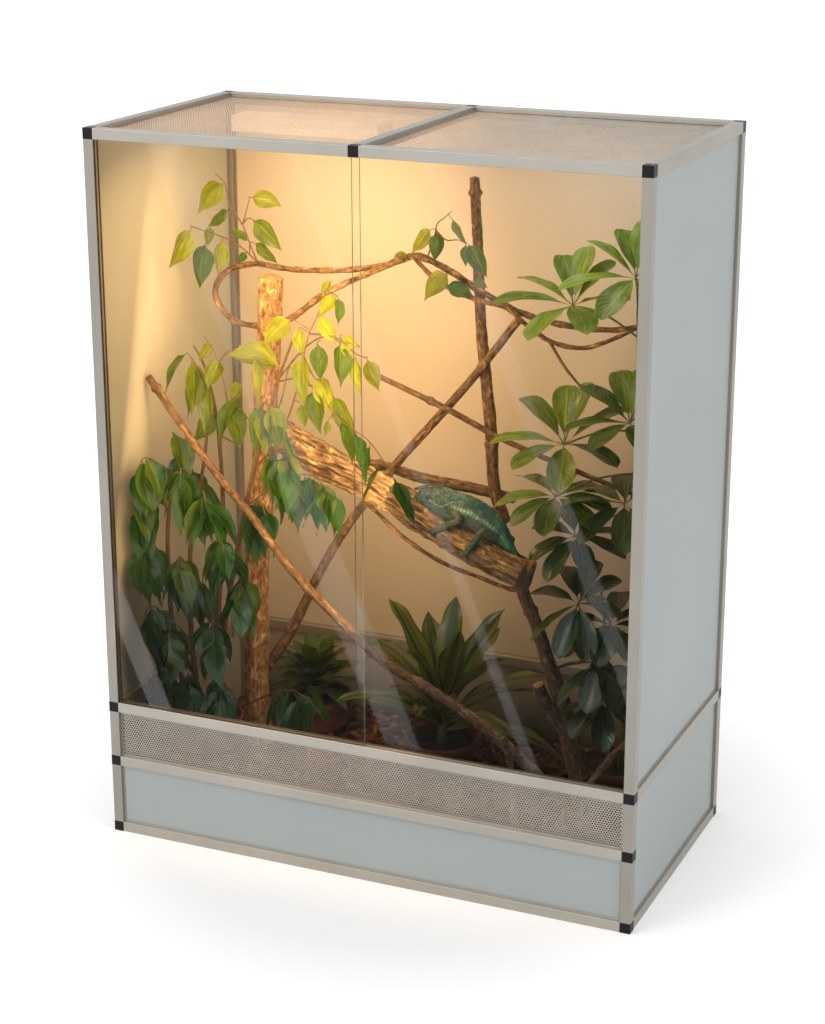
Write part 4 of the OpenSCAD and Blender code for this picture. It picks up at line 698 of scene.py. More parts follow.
def glass_finish():
    """Clear float glass: see-through, with a painted reflection in slanting bands, and green
    edges.
    """
    f = Finish("clear_glass")
    at = f.node("SeparateXYZ", {0: f.place()})
    x, z = at, at.node.outputs[2]
    # Painted reflection: the glass reflects far more inside the slanting bands than between them.
    slant = f.maths("ADD", f.maths("MULTIPLY", z, 0.42), x)
    painted_reflection_bands = f.speckle(f.node("CombineXYZ", {0: slant, 1: 0.0, 2: 0.0}), 8.0, 1.0)
    bright = f.steps(painted_reflection_bands, 0.58, 0.595, 0.06, 0.5)
    rim = f.node("Fresnel", {"IOR": 1.45})
    side = f.node("SeparateXYZ", {0: f.node("NewGeometry", out=3)}, out=1)
    face = f.maths("GREATER_THAN", f.maths("ABSOLUTE", side), 0.5)
    ray = f.node("LightPath", out=1)
    lit = f.maths("MAXIMUM", ray, ray.node.outputs["Is Diffuse Ray"])
    clear = f.node("BsdfTransparent", {0: f.mix(lit, (0.985, 0.992, 0.988), (0.20, 0.20, 0.20))})
    gloss = f.node("BsdfGlossy", {"Color": (1, 1, 1), "Roughness": 0.03})
    pane = f.node("MixShader", {0: f.maths("MULTIPLY", rim, bright), 1: clear, 2: gloss})
    edge = f.node("MixShader", {
        0: 0.6, 1: f.node("BsdfDiffuse", {0: (0.30, 0.42, 0.38)}),
        2: f.node("BsdfGlossy", {"Color": (0.75, 0.9, 0.85), "Roughness": 0.15})})
    f.feed(f.output.inputs[0], f.node("MixShader", {0: face, 1: edge, 2: pane}))
    return f.material


def lamp_finishes():
    """The lamp's pale metal housing, with a faint painted warm glow, and its glowing diffuser."""
    f = Finish("lamp_housing", Metallic=0.3, Roughness=0.5)
    # The housing's warm emission is a painted glow: the housing itself gives no light.
    f.set(Base_Color=f.mix(f.speckle(f.place(), 30.0), (0.6, 0.56, 0.5), (0.72, 0.68, 0.6)),
          Emission_Color=(1.0, 0.62, 0.28), Emission_Strength=0.35)
    g = Finish("lamp_diffuser", Roughness=0.6, Base_Color=(0.9, 0.8, 0.6),
               Emission_Color=(1.0, 0.72, 0.40))
    g.set(Emission_Strength=g.steps(g.speckle(g.place(), 400.0), 0.3, 0.7, 3.2, 4.2))
    return f.material, g.material


def bark_finish(name, dark, light, patch, patches=0.5, streak=0.16, depth=0.0012, cut=None):
    """Wood bark from the straightened branch: streaks, pale patches and dark grooves, darker the
    deeper they are: the inner bark's own colour with painted shade.
    """
    f = Finish(name, Roughness=0.8)
    place = f.place("grain", (1, 1, streak))
    relief = f.node("SeparateXYZ", {0: f.node("Attribute", attribute_name="cut", out=1)})
    face = relief.node.outputs[1]
    streaks = f.speckle(place, 190.0, 6.0, 0.7)
    blotch = f.speckle(f.place("grain", (1, 1, 0.5)), 80.0, 4.0, 0.6, 0.6)
    colour = f.mix(f.steps(streaks, 0.38, 0.62), dark, light)
    colour = f.mix(f.steps(blotch, patches, patches + 0.12), colour, patch)
    # Painted shade, with the inner bark's own darker colour: the deeper the groove, the darker.
    colour = f.multiply(f.steps(relief, -0.06, -0.22, 0.0, 0.9), colour, (0.16, 0.11, 0.08))
    ends = f.mix(f.steps(f.speckle(f.place("grain"), 500.0), 0.35, 0.65),
                 cut or (0.20, 0.12, 0.06), cut or (0.36, 0.24, 0.13))
    colour = f.mix(face, colour, ends)
    height = f.maths("ADD", streaks, f.maths("MULTIPLY", blotch, 0.6))
    f.set(Base_Color=colour, Roughness=f.steps(streaks, 0.3, 0.7, 0.9, 0.68),
          Normal=f.bump(height, depth, 0.9))
    return f.material


def leaf_finish(name, rib, veins, gloss=0.3, glow=0.3, stripes=0.0):
    """A waxy leaf: its own tint, a paler rib and side veins, mottling, and light through it."""
    f = Finish(name, Roughness=gloss)
    f.set(**{"Coat Weight": 0.32, "Coat Roughness": 0.1, "Specular IOR Level": 0.35})
    blade = f.node("SeparateXYZ", {0: f.node("Attribute", attribute_name="blade", out=1)})
    across = f.maths("ABSOLUTE", blade)
    run, seed = blade.node.outputs[1], blade.node.outputs[2]
    tint = f.node("Attribute", attribute_name="tint")
    place = f.node("CombineXYZ", {0: blade, 1: run, 2: f.maths("MULTIPLY", seed, 40.0)})
    mottle = f.speckle(place, 3.2, 5.0, 0.6, 0.4)
    slant = f.maths("SUBTRACT", f.maths("MULTIPLY", run, veins), f.maths("MULTIPLY", across, 2.6))
    wave = f.maths("SINE", f.maths("MULTIPLY", slant, 6.283))
    colour = f.multiply(1.0, tint, f.mix(f.steps(mottle, 0.3, 0.72), (0.55, 0.62, 0.6),
                                         (1.5, 1.35, 1.1)))
    if stripes:
        streak = f.speckle(f.node("CombineXYZ", {0: f.maths("MULTIPLY", blade, 4.5),
                                                 1: f.maths("MULTIPLY", run, 0.5),
                                                 2: f.maths("MULTIPLY", seed, 30.0)}), 1.0, 3.0)
        edge = f.maths("MULTIPLY", f.steps(across, 0.3, 0.55), f.steps(across, 1.0, 0.8))
        band = f.maths("MAXIMUM", f.maths("MULTIPLY", edge, 0.7), f.steps(streak, 0.5, 0.66))
        colour = f.mix(f.maths("MULTIPLY", band, stripes), colour, (0.17, 0.22, 0.03))
    pale = f.multiply(1.0, colour, rib)
    pale = f.mix(0.06, pale, (0.5, 0.55, 0.2))
    colour = f.mix(f.maths("MULTIPLY", f.steps(wave, 0.78, 1.0), 0.16), colour, pale)
    line = f.maths("MULTIPLY", f.steps(across, 0.06, 0.02), f.steps(run, 1.0, 0.5, 0.25, 0.7))
    colour = f.mix(line, colour, pale)
    relief = f.maths("ADD", f.maths("MULTIPLY", wave, 0.25), f.steps(across, 0.0, 0.12))
    relief = f.maths("ADD", relief, f.maths("MULTIPLY", mottle, 0.8))
    normal = f.bump(relief, 0.0008, 0.7)
    f.set(Base_Color=colour, Normal=normal,
          Roughness=f.steps(mottle, 0.3, 0.7, gloss - 0.06, gloss + 0.12))
    through = f.node("BsdfTranslucent", {
        "Color": f.multiply(1.0, colour, (1.9, 1.6, 0.5)), "Normal": normal})
    f.feed(f.output.inputs[0], f.node("MixShader", {
        0: glow, 1: f.shader.outputs[0], 2: through}))
    return f.material


def stem_finish(name, low, high):
    """Thin woody stems: streaked, with small pale rings."""
    f = Finish(name, Roughness=0.62)
    place = f.place("grain", (1, 1, 0.3))
    streaks = f.speckle(place, 400.0, 4.0)
    rings = f.speckle(f.place("grain", (0.1, 0.1, 1)), 130.0, 2.0)
    colour = f.mix(f.steps(streaks, 0.3, 0.7), low, high)
    f.set(Base_Color=f.mix(f.steps(rings, 0.62, 0.7, 0, 0.4), colour, (0.42, 0.34, 0.2)),
          Normal=f.bump(streaks, 0.0004, 0.7))
    return f.material


def chip_finish():
    """Pine bark chips, each with its own brown, over dark crumbs."""
    f = Finish("bark_chips", Roughness=0.85)
    chip = f.node("Attribute", attribute_name="tint")
    fleck = f.speckle(f.place(), 260.0, 5.0, 0.65)
    f.set(Base_Color=f.multiply(1.0, chip, f.mix(f.steps(fleck, 0.3, 0.7), (0.5, 0.46, 0.44),
                                                 (1.35, 1.3, 1.25))),
          Normal=f.bump(fleck, 0.0012, 0.8))
    return f.material


def pot_finish():
    """Dark red-brown fired clay with pale lime bloom and fine pits."""
    f = Finish("clay_pot", Roughness=0.7)
    cloud = f.speckle(f.place(), 24.0, 5.0, 0.6)
    pits = f.speckle(f.place(), 900.0, 2.0)
    colour = f.mix(f.steps(cloud, 0.35, 0.7), (0.10, 0.028, 0.016), (0.20, 0.062, 0.035))
    f.set(Base_Color=f.mix(f.steps(cloud, 0.66, 0.8, 0, 0.35), colour, (0.30, 0.2, 0.15)),
          Normal=f.bump(pits, 0.0003, 0.6))
    return f.material


def soil_finish():
    """Dark damp soil with pale crumbs."""
    f = Finish("potting_soil", Roughness=0.95)
    crumbs = f.speckle(f.place(), 320.0, 6.0, 0.7)
    f.set(Base_Color=f.mix(f.steps(crumbs, 0.35, 0.7), (0.008, 0.005, 0.003),
                           (0.045, 0.028, 0.016)), Normal=f.bump(crumbs, 0.002, 0.9))
    return f.material


def lizard_finish():
    """Scaly skin over its painted pattern, each scale lighter in its middle and darker at its
    edges: the seams' own colour with painted shade.
    """
    f = Finish("lizard_skin", Roughness=0.5)
    tint = f.node("Attribute", attribute_name="tint")
    scales = f.node("TexVoronoi", {"Vector": f.place(), "Scale": 330.0}, out=0)
    big = f.node("TexVoronoi", {"Vector": f.place(), "Scale": 190.0}, out=0)
    # Painted shade, with the skin's own darker seams: each scale is lighter in its middle and
    # darker at its edges.
    shade = f.mix(f.steps(scales, 0.1, 0.7), (1.45, 1.45, 1.4), (0.4, 0.45, 0.45))
    f.set(Base_Color=f.multiply(1.0, tint, shade),
          Normal=f.bump(f.maths("ADD", scales, f.maths("MULTIPLY", big, 0.6)), 0.0012, -0.7),
          Roughness=f.steps(scales, 0.1, 0.6, 0.38, 0.62))
    return f.material


# Pieces


def paint(finish, *nodes):
    """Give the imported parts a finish."""
    for name in nodes:
        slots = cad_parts[name].data.materials
        slots.clear()
        slots.append(finish)


class TERRARIUM_OT_cabinet(bpy.types.Operator):
    """Finish the tubes, connectors, boards, doors and lamp"""

    bl_idname = "terrarium.cabinet"
    bl_label = "Cabinet finishes"

    def execute(self, context):
        looks = context.scene.terrarium_cabinet
        # Painted light: the rails along x are painted lighter and the posts along z darker, as lit
        # and shaded copies of one aluminium; the three also differ in the way of their grain.
        tubes = [tube_finish("tube_" + "xyz"[k], [share * c for c in looks.tube_colour], k)
                 for k, share in enumerate((1.12, 0.97, 0.86))]
        paint(tubes[0], "front_bottom_rail", "back_bottom_rail", "front_vent_rail",
              "door_sill_rail", "back_middle_rail", "front_top_rails", "back_top_rails")
        paint(tubes[1], "side_bottom_rails", "side_middle_rails", "side_top_rails",
              "roof_crossbar")
        paint(tubes[2], "front_lower_posts", "front_middle_posts", "front_left_post",
              "front_right_post", "back_lower_posts", "back_left_post", "back_right_post")
        paint(connector_finish(looks.connector_colour), "bottom_connectors",
              "vent_connectors", "middle_connectors", "top_connectors", "roof_tee_connectors")
        paint(panel_finish(looks.panel_colour, looks.inner_colour), "left_panel_upper",
              "left_panel_lower", "right_panel_upper", "right_panel_lower", "back_panel_upper",
              "back_panel_lower", "front_panel", "floor_panel")
        paint(glass_finish(), "left_glass_door", "right_glass_door")
        housing, diffuser = lamp_finishes()
        paint(housing, "lamp_housing")
        paint(diffuser, "lamp_diffuser")
        return {"FINISHED"}


def perforated(node, name, pitch, hole, sides, finish):
    """A perforated sheet in place of a node, its holes in staggered rows."""
    low, high = (np.array(c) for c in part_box(node))
    thin = int(np.argmin(high - low))
    flat = [k for k in range(3) if k != thin]
    size = (high - low)[flat]
    row = pitch * math.sqrt(0.75)
    count = [int(size[0] / pitch) + 3, int(size[1] / row) + 3]
    i, j = (k.ravel() for k in np.meshgrid(np.arange(count[0]), np.arange(count[1])))
    middle = np.stack([(i + (j % 2) / 2) * pitch, j * row], 1)
    middle += size / 2 - (middle.min(0) + middle.max(0)) / 2
    turn = np.radians(30 + 360 / sides * np.arange(sides))
    way = np.stack([np.cos(turn), np.sin(turn)], 1)
    corner = np.arange(sides) % (sides // 6) == 0
    reach = np.where(corner, pitch / math.sqrt(3), pitch / 2)
    outer = np.clip(middle[:, None] + way * reach[:, None], 0, size)
    inner = middle[:, None] + way * hole / 2
    open_ = np.all((middle > hole) & (middle < size - hole), 1)
    corners, where = np.unique(np.round(outer.reshape(-1, 2), 7), axis=0, return_inverse=True)
    where = where.reshape(-1, sides)
    holes = inner[open_].reshape(-1, 2)
    rim = np.arange(len(holes)).reshape(-1, sides) + len(corners)
    edge = where[open_]
    quads = np.stack([edge, np.roll(edge, -1, 1), np.roll(rim, -1, 1), rim], -1).reshape(-1, 4)
    flats = []
    for ring in where[~open_]:
        ring = [a for a, b in zip(ring, np.roll(ring, 1)) if a != b]
        if len(set(ring)) == len(ring) > 2 and np.ptp(corners[ring], 0).min() > 1e-6:
            flats.append(ring)
    points = np.zeros((len(corners) + len(holes), 3))
    points[:, flat] = np.vstack([corners, holes]) + low[flat]
    points[:, thin] = (low + high)[thin] / 2
    sculpt = Sculpt()
    sculpt.add(points, [quads] + flats)
    sculpt.piece(name, finish, "perforated_sheet", node, flat=True)


class TERRARIUM_OT_sheets(bpy.types.Operator):
    """Make the perforated vent strip and roof sheets"""

    bl_idname = "terrarium.sheets"
    bl_label = "Perforated sheets"

    def execute(self, context):
        looks = context.scene.terrarium_cabinet
        finish = sheet_finish()
        perforated("vent_strip", "vent_mesh", looks.hole_pitch, looks.hole_size, 12, finish)
        for side in ("left", "right"):
            perforated(side + "_roof_sheet", side + "_roof_mesh", looks.hole_pitch,
                       looks.hole_size, 6, finish)
        return {"FINISHED"}


def bark_bump(x, y):
    """Height of the bark's surface above its mean, for places in millimetres."""
    x, y = np.asarray(x, float), np.asarray(y, float)
    swell = np.sin(np.radians(x * 0.9 + 40 * np.sin(np.radians(y * 1.1))))
    return 5 * swell + 4 * np.sin(np.radians(y * 1.7 - x * 0.5))


class TERRARIUM_OT_bark(bpy.types.Operator):
    """Make the bed of bark chips"""

    bl_idname = "terrarium.bark"
    bl_label = "Bark bed"

    def execute(self, context):
        count = context.scene.terrarium_planting.bark_chips
        random = np.random.default_rng(BARK_SEED)
        bed = Sculpt()
        w, d = (INSIDE_X - 0.01 - FIN) / MM, (INSIDE_Y - 0.01 - FIN) / MM
        nx, ny = 130, 64
        x, y = np.meshgrid(np.linspace(-w, w, nx + 1), np.linspace(-d, d, ny + 1))
        x, y = x.ravel(), y.ravel()
        rough = 4 * fractal(np.stack([x / 22, y / 22, 0 * x], 1), 3)
        z = BARK_TOP / MM + bark_bump(x, y) - 5 + rough
        top = np.stack([x, y, z], 1) * MM
        low = top * [1, 1, 0] + [0, 0, FLOOR_TOP]
        n = len(top)
        cols = nx + 1
        edge = (list(range(nx)) + [k * cols + nx for k in range(ny)]
                + [ny * cols + k for k in range(nx, 0, -1)]
                + [k * cols for k in range(ny, 0, -1)])
        a = np.array(edge)
        b = np.roll(a, -1)
        dark = np.tile([0.018, 0.009, 0.005], (n, 1))
        # Painted light: bright orange patches on the bed's sides stand in for lit bark chips seen
        # through the vent.
        patch = np.clip(noise(low[a] * 26, 50) * 3, 0, 1)[:, None]
        painted_lit_sides = dark[:1] + patch * (np.array([0.85, 0.34, 0.20]) - dark[:1])
        bed.add(np.vstack([top, low[a]]),
                [grid_faces(ny + 1, cols, False),
                 np.stack([b, a, n + np.arange(len(a)), n + (np.arange(len(a)) + 1) % len(a)], 1),
                 n + np.arange(len(a))[::-1]], tint=np.vstack([dark, painted_lit_sides]))
        browns = np.array([[0.11, 0.040, 0.018], [0.17, 0.062, 0.028], [0.06, 0.024, 0.012],
                           [0.24, 0.11, 0.055], [0.04, 0.017, 0.010]])
        m = CHIP_CORNERS
        ring = np.arange(m)
        sides = np.stack([ring, (ring + 1) % m, (ring + 1) % m + m, ring + m], 1)
        for _ in range(count):
            l, wide, thick = random.uniform((14, 8, 2.5), (40, 20, 6))
            px, py = random.uniform(-1, 1, 2) * (w - 22, d - 22)
            turn = random.uniform(0, 2 * math.pi)
            tilt = random.normal(0, 0.28, 2)
            lump = random.uniform(0.72, 1.1, m)
            shade = random.uniform(0.7, 1.25)
            brown = browns[random.integers(5)] * shade
            lift = random.uniform(-2, 4)
            if min(math.hypot(px - p[0], py - p[1]) for p in POTS) < POT_CLEARANCE:
                continue
            t = 2 * math.pi * ring / m
            flat = np.stack([np.cos(t) * lump * l / 2, np.sin(t) * lump * wide / 2], 1)
            shell = np.vstack([np.c_[flat, np.full(m, -thick / 2)],
                               np.c_[flat * 0.86, np.full(m, thick / 2)]])
            shell[:, 2] += shell[:, 0] ** 2 * 0.008
            shell[:, 2] += shell[:, 0] * tilt[0] + shell[:, 1] * tilt[1]
            c, s = math.cos(turn), math.sin(turn)
            shell[:, :2] = shell[:, :2] @ np.array([[c, s], [-s, c]])
            shell += [px, py, BARK_TOP / MM + bark_bump(px, py) + lift]
            bed.add(shell * MM, [sides, ring[::-1], ring + m], tint=brown)
        bed.piece("bark_chips", chip_finish(), "bark", "bark_bed", flat=True)
        return {"FINISHED"}


def trunk_relief(p):
    """Low ridges along the trunk, with a rough skin."""
    ridge = noise(p * [75, 75, 14], 3)
    return (0.04 * ridge + 0.05 * fractal(p * [200, 200, 70], 4, 5) + 0.05 * noise(p * 22, 8)
            - 0.03)


def log_relief(p):
    """Deep grooves along the log, torn bark, and rough ends."""
    grooves = 1 - np.abs(noise(p * [150, 150, 13], 21)) * 2.2
    plates = np.abs(noise(p * [190, 190, 30], 22))
    return (-0.22 * np.clip(grooves, 0, 1) ** 1.5 + 0.14 * plates - 0.02
            + 0.05 * noise(p * 26, 23) + 0.05 * fractal(p * [420, 420, 120], 3, 24))


def branch_relief(p):
    """Fine ridges, and a knot with its stub here and there."""
    rough = 0.05 * noise(p * [60, 60, 25], 4) + 0.07 * fractal(p * [330, 330, 110], 4, 7)
    step = p[:, 2] * 10.5 + p[:, 0].mean()
    turn = np.arctan2(p[:, 1], p[:, 0]) - 2.4 * np.floor(step)
    knot = np.exp(-((np.mod(step, 1) - 0.5) / 0.05) ** 2)
    turn = np.mod(turn + np.pi, 2 * np.pi) - np.pi
    return rough + 0.5 * knot * np.exp(-(turn / 0.5) ** 2) - 0.05


def vine_relief(p):
    """Strands wound round each other, with a knobbly skin."""
    turn = np.arctan2(p[:, 1], p[:, 0])
    strand = np.cos(2 * (turn - p[:, 2] * 55))
    return (0.09 * strand + 0.14 * noise(p * [170, 170, 80], 9) + 0.09 * fractal(p * 420, 3, 10)
            - 0.05)


def stem_relief(p):
    """Slight unevenness of a thin stem."""
    return 0.08 * noise(p * [120, 120, 40], 12)


class TERRARIUM_OT_branches(bpy.types.Operator):
    """Make the trunk, the log, the climbing branches and the vines"""

    bl_idname = "terrarium.branches"
    bl_label = "Branches"

    def execute(self, context):
        bark = bark_finish("mottled_bark", (0.085, 0.045, 0.02), (0.40, 0.26, 0.12),
                           (0.62, 0.46, 0.25), 0.54, 0.5)
        split = bark_finish("split_log", (0.05, 0.027, 0.014), (0.36, 0.27, 0.15),
                            (0.60, 0.47, 0.28), 0.56, 0.16, 0.0025, (0.34, 0.22, 0.12))
        brown = bark_finish("brown_bark", (0.045, 0.024, 0.013), (0.21, 0.138, 0.075),
                            (0.34, 0.25, 0.155), 0.55, 0.4)
        vine = bark_finish("vine_bark", (0.07, 0.037, 0.017), (0.28, 0.18, 0.085),
                           (0.50, 0.36, 0.20), 0.56, 0.6)
        for name, finish, node, parts, spacing, sides, relief in (
                ("trunk", bark, "upright_trunk", [(TRUNK, 50)], 4, 48, trunk_relief),
                ("fork", brown, "forked_branch", [(FORK, 18)], 4, 28, branch_relief),
                ("split_log", split, "climbing_log", [(LOG, 62)], 2.6, 84, log_relief),
                ("long_branch", brown, "diagonal_branch", [(DIAGONAL, 18)], 4, 28, branch_relief),
                ("cross_stick", brown, "cross_branch", [(CROSS, 22)], 4, 28, branch_relief),
                ("tall_stick", brown, "upright_stick", [(UPRIGHT, 24)], 4, 28, branch_relief),
                ("log_prop", brown, "log_support", [(SUPPORT, 40), (SUPPORT_FORK, 40)], 4, 36,
                 branch_relief),
                ("slant_stick", brown, "slanting_stick", [(SLANT, 12)], 4, 20, branch_relief),
                ("twisted_vines", vine, "vines",
                 [(v, 12) for v in (VINE_LOOP, VINE_UPPER, VINE_LOWER, VINE_SPUR, VINE_UNDER)],
                 3, 16, vine_relief),
                ("small_sticks", brown, "short_sticks", [(STICK_A, 13), (STICK_B, 13)], 4, 18,
                 branch_relief)):
            sculpt = Sculpt()
            for k, (route, diameter) in enumerate(parts):
                limb(sculpt, route, diameter, spacing, sides, relief, seed=7.3 * k + 0.01 * sides)
            sculpt.piece(name, finish, "wood", node)
        return {"FINISHED"}


def lathe(sculpt, profile, at):
    """A round shape from its profile of radius and height, in millimetres."""
    a = 2 * np.pi * np.arange(POT_SIDES) / POT_SIDES
    rings = np.array([[(at[0] + r * math.cos(t), at[1] + r * math.sin(t), at[2] + z) for t in a]
                      for r, z in profile]) * MM
    skin(sculpt, rings)


class TERRARIUM_OT_pots(bpy.types.Operator):
    """Make the pots and the soil in them"""

    bl_idname = "terrarium.pots"
    bl_label = "Pots and soil"

    def execute(self, context):
        pots, soil = Sculpt(), Sculpt()
        foot, top, rim = POT_FOOT_D / 2, POT_D / 2 - 4, POT_D / 2
        profile = [(8, 0), (foot - 3, 0), (foot, 2.5)]
        profile += [(foot + (top - foot) * s, POT_H * s) for s in np.linspace(0.1, 0.84, 8)]
        profile += [(rim - 1.5, POT_H - POT_RIM_H - 0.5), (rim, POT_H - POT_RIM_H + 1.5),
                    (rim, POT_H - 5), (rim - 0.6, POT_H - 2), (rim - 2.2, POT_H - 0.4),
                    (rim - 4, POT_H), (top - POT_WALL + 0.6, POT_H - 0.6),
                    (top - POT_WALL, POT_H - 3), (top - POT_WALL - 1.5, POT_H - 14)]
        profile += [(foot - POT_WALL, POT_WALL + 2), (8, POT_WALL)]
        random = np.random.default_rng(SOIL_SEED)
        for p in POTS:
            at = (p[0], p[1], POT_Z)
            lathe(pots, profile, at)
            level = POT_H - SOIL_DROP
            r_top = foot + (top - foot) * level / POT_H - POT_WALL - 1.2
            rings = []
            shares = np.linspace(1, 0.04, 16)
            a = 2 * np.pi * np.arange(POT_SIDES) / POT_SIDES
            for s in shares:
                flat = np.stack([p[0] + r_top * s * np.cos(a), p[1] + r_top * s * np.sin(a)], 1)
                lift = 2.6 * fractal(np.c_[flat / 7, 0 * a], 3) * (1 - s**8)
                rings.append(np.c_[flat, POT_Z + level + lift - 1])
            base = np.c_[p[0] + (r_top - 4) * np.cos(a), p[1] + (r_top - 4) * np.sin(a),
                         np.full(POT_SIDES, POT_Z + POT_WALL + 1)]
            skin(soil, np.array([base] + rings) * MM)
            for _ in range(SOIL_CRUMBS):
                r, t = r_top * 0.93 * math.sqrt(random.uniform()), random.uniform(0, 6.283)
                size = random.uniform(1.0, 3.0)
                spots = random.normal(0, 1, (6, 3)) * 0.25 + np.vstack([np.eye(3), -np.eye(3)])
                soil.add((spots * size + [p[0] + r * math.cos(t), p[1] + r * math.sin(t),
                                          POT_Z + level + size * 0.5]) * MM,
                         [np.array([[0, 1, 2], [1, 3, 2], [3, 4, 2], [4, 0, 2],
                                    [1, 0, 5], [3, 1, 5], [4, 3, 5], [0, 4, 5]])])
        pots.piece("clay_pots", pot_finish(), "pot", "plant_pots")
        soil.piece("soil_tops", soil_finish(), "soil", "potting_soil")
        return {"FINISHED"}


def fig_twig(i):
    """Points of a twig in millimetres, from the middle of the carrier where one is named."""
    carriers = FIG_STEMS + [VINE_LOOP, VINE_UPPER]
    carrier, share, points, _ = FIG_TWIGS[i]
    if carrier is None:
        return np.array(points, float)
    start = along([q[:3] for q in carriers[carrier]], 0.999 * share)
    return np.vstack([[start], points])


def nearest(p, lines):
    """Nearest point to p on any of the lines that carry twigs and leaves."""
    spots = []
    for line in lines:
        q = np.array([v[:3] for v in line], float)
        a, d = q[:-1], np.diff(q, axis=0)
        t = np.clip(((p - a) * d).sum(1) / (d * d).sum(1), 0, 1)
        spots.append(a + t[:, None] * d)
    spots = np.vstack(spots)
    return spots[np.argmin(np.linalg.norm(spots - p, axis=1))]


class TERRARIUM_OT_fig(bpy.types.Operator):
    """Make the fig, its stems, twigs and leaves"""

    bl_idname = "terrarium.fig"
    bl_label = "Fig"

    def execute(self, context):
        looks = context.scene.terrarium_planting
        length, width = looks.fig_leaf_length, looks.fig_leaf_width
        dark, fresh = np.array(looks.deep_green), np.array(looks.fresh_green)
        stems, leaves = Sculpt(), Sculpt()
        for stem in FIG_STEMS:
            limb(stems, stem, 1, 5, 12, stem_relief)
        lines = [*FIG_STEMS, VINE_LOOP, VINE_UPPER, VINE_LOWER]
        for i, (carrier, _, _, n) in enumerate(FIG_TWIGS):
            p = fig_twig(i)
            if carrier is None:
                ends = [nearest(q, lines) for q in (p[0], p[-1])]
                if math.dist(ends[1], p[-1]) < math.dist(ends[0], p[0]):
                    ends, p = ends[::-1], p[::-1]
                if math.dist(ends[0], p[0]) > 2:
                    p = np.vstack([ends[:1], p])
            lines.append(p)
            size = np.linspace(3.4, 1.5, len(p))
            limb(stems, np.c_[p, size], 1, 4, 8, stem_relief, seed=i)
            full = p[-1][2] < 760
            for j in [*range(n), *(k + 0.5 for k in range(n) if full)]:
                b = along(p, min(1, 0.25 + 0.75 * (j + 1) / n)) * MM
                fall = 52 + 28 * scatter(i, j)
                turn = (1 if int(2 * j) % 4 < 2 else -1) * (12 + 76 * scatter(j, i + 7)) - 90
                h = clear_heading(b, turn, length * math.cos(math.radians(fall)) + width / 2)
                # Painted light: leaves higher up, nearer the lamp, take more of the fresh green;
                # the rest of the mix is at random.
                light = np.clip((b[2] - 0.68) / 0.32, 0, 1)
                share = np.clip(0.7 * light + 0.5 * scatter(j + 3, i + 1) - 0.22, 0, 1) ** 1.4
                tint = dark + (fresh - dark) * share
                leaf(leaves, b, h, fall, 90 * scatter(i + 3, j) - 45,
                     length * (0.8 + 0.3 * scatter(j, i)), width, FIG_OUTLINE, tint,
                     arch=0.09 * scatter(j, i + 11), sway=0.16 * scatter(i, j + 21) - 0.08,
                     fold=0.16, ripple=0.035, seed=scatter(i, j + 40))
        for i, (x, y, z, tip_x, tip_z, share) in enumerate(FIG_LEAVES):
            reach = math.hypot(tip_x - x, tip_z - z)
            base, ahead = np.array([x, y, z], float), np.array([tip_x - x, 0, tip_z - z]) / reach
            foot = nearest(base, lines)
            if math.dist(foot, base) < 3:
                foot = base - 3 * ahead
            line = np.array([foot, (foot + base) / 2, base, base + 4 * ahead])
            limb(stems, np.c_[line, LEAF_STALK], 1, 3, 6, stem_relief, seed=i)
            leaf(leaves, np.array([x, y, z]) * MM, 0 if tip_x > x else 180,
                 math.degrees(math.asin((z - tip_z) / reach)), 90 + 70 * (scatter(i, 3) - 0.5),
                 reach * MM, 0.5 * reach * MM, FIG_OUTLINE, dark + (fresh - dark) * share**1.4,
                 droop=0.04, arch=0.05, sway=0.1 * scatter(i, 5) - 0.05, fold=0.16, ripple=0.035,
                 seed=scatter(i, 90))
        stems.piece("fig_stems_and_twigs", stem_finish("fig_stem", (0.055, 0.032, 0.015),
                                                       (0.17, 0.11, 0.055)),
                    "plant_stem", "fig_stems")
        leaves.piece("fig_foliage", leaf_finish("fig_leaf", (2.0, 1.7, 1.6), 11.0, 0.24, 0.22),
                     "foliage", "fig_leaves")
        return {"FINISHED"}


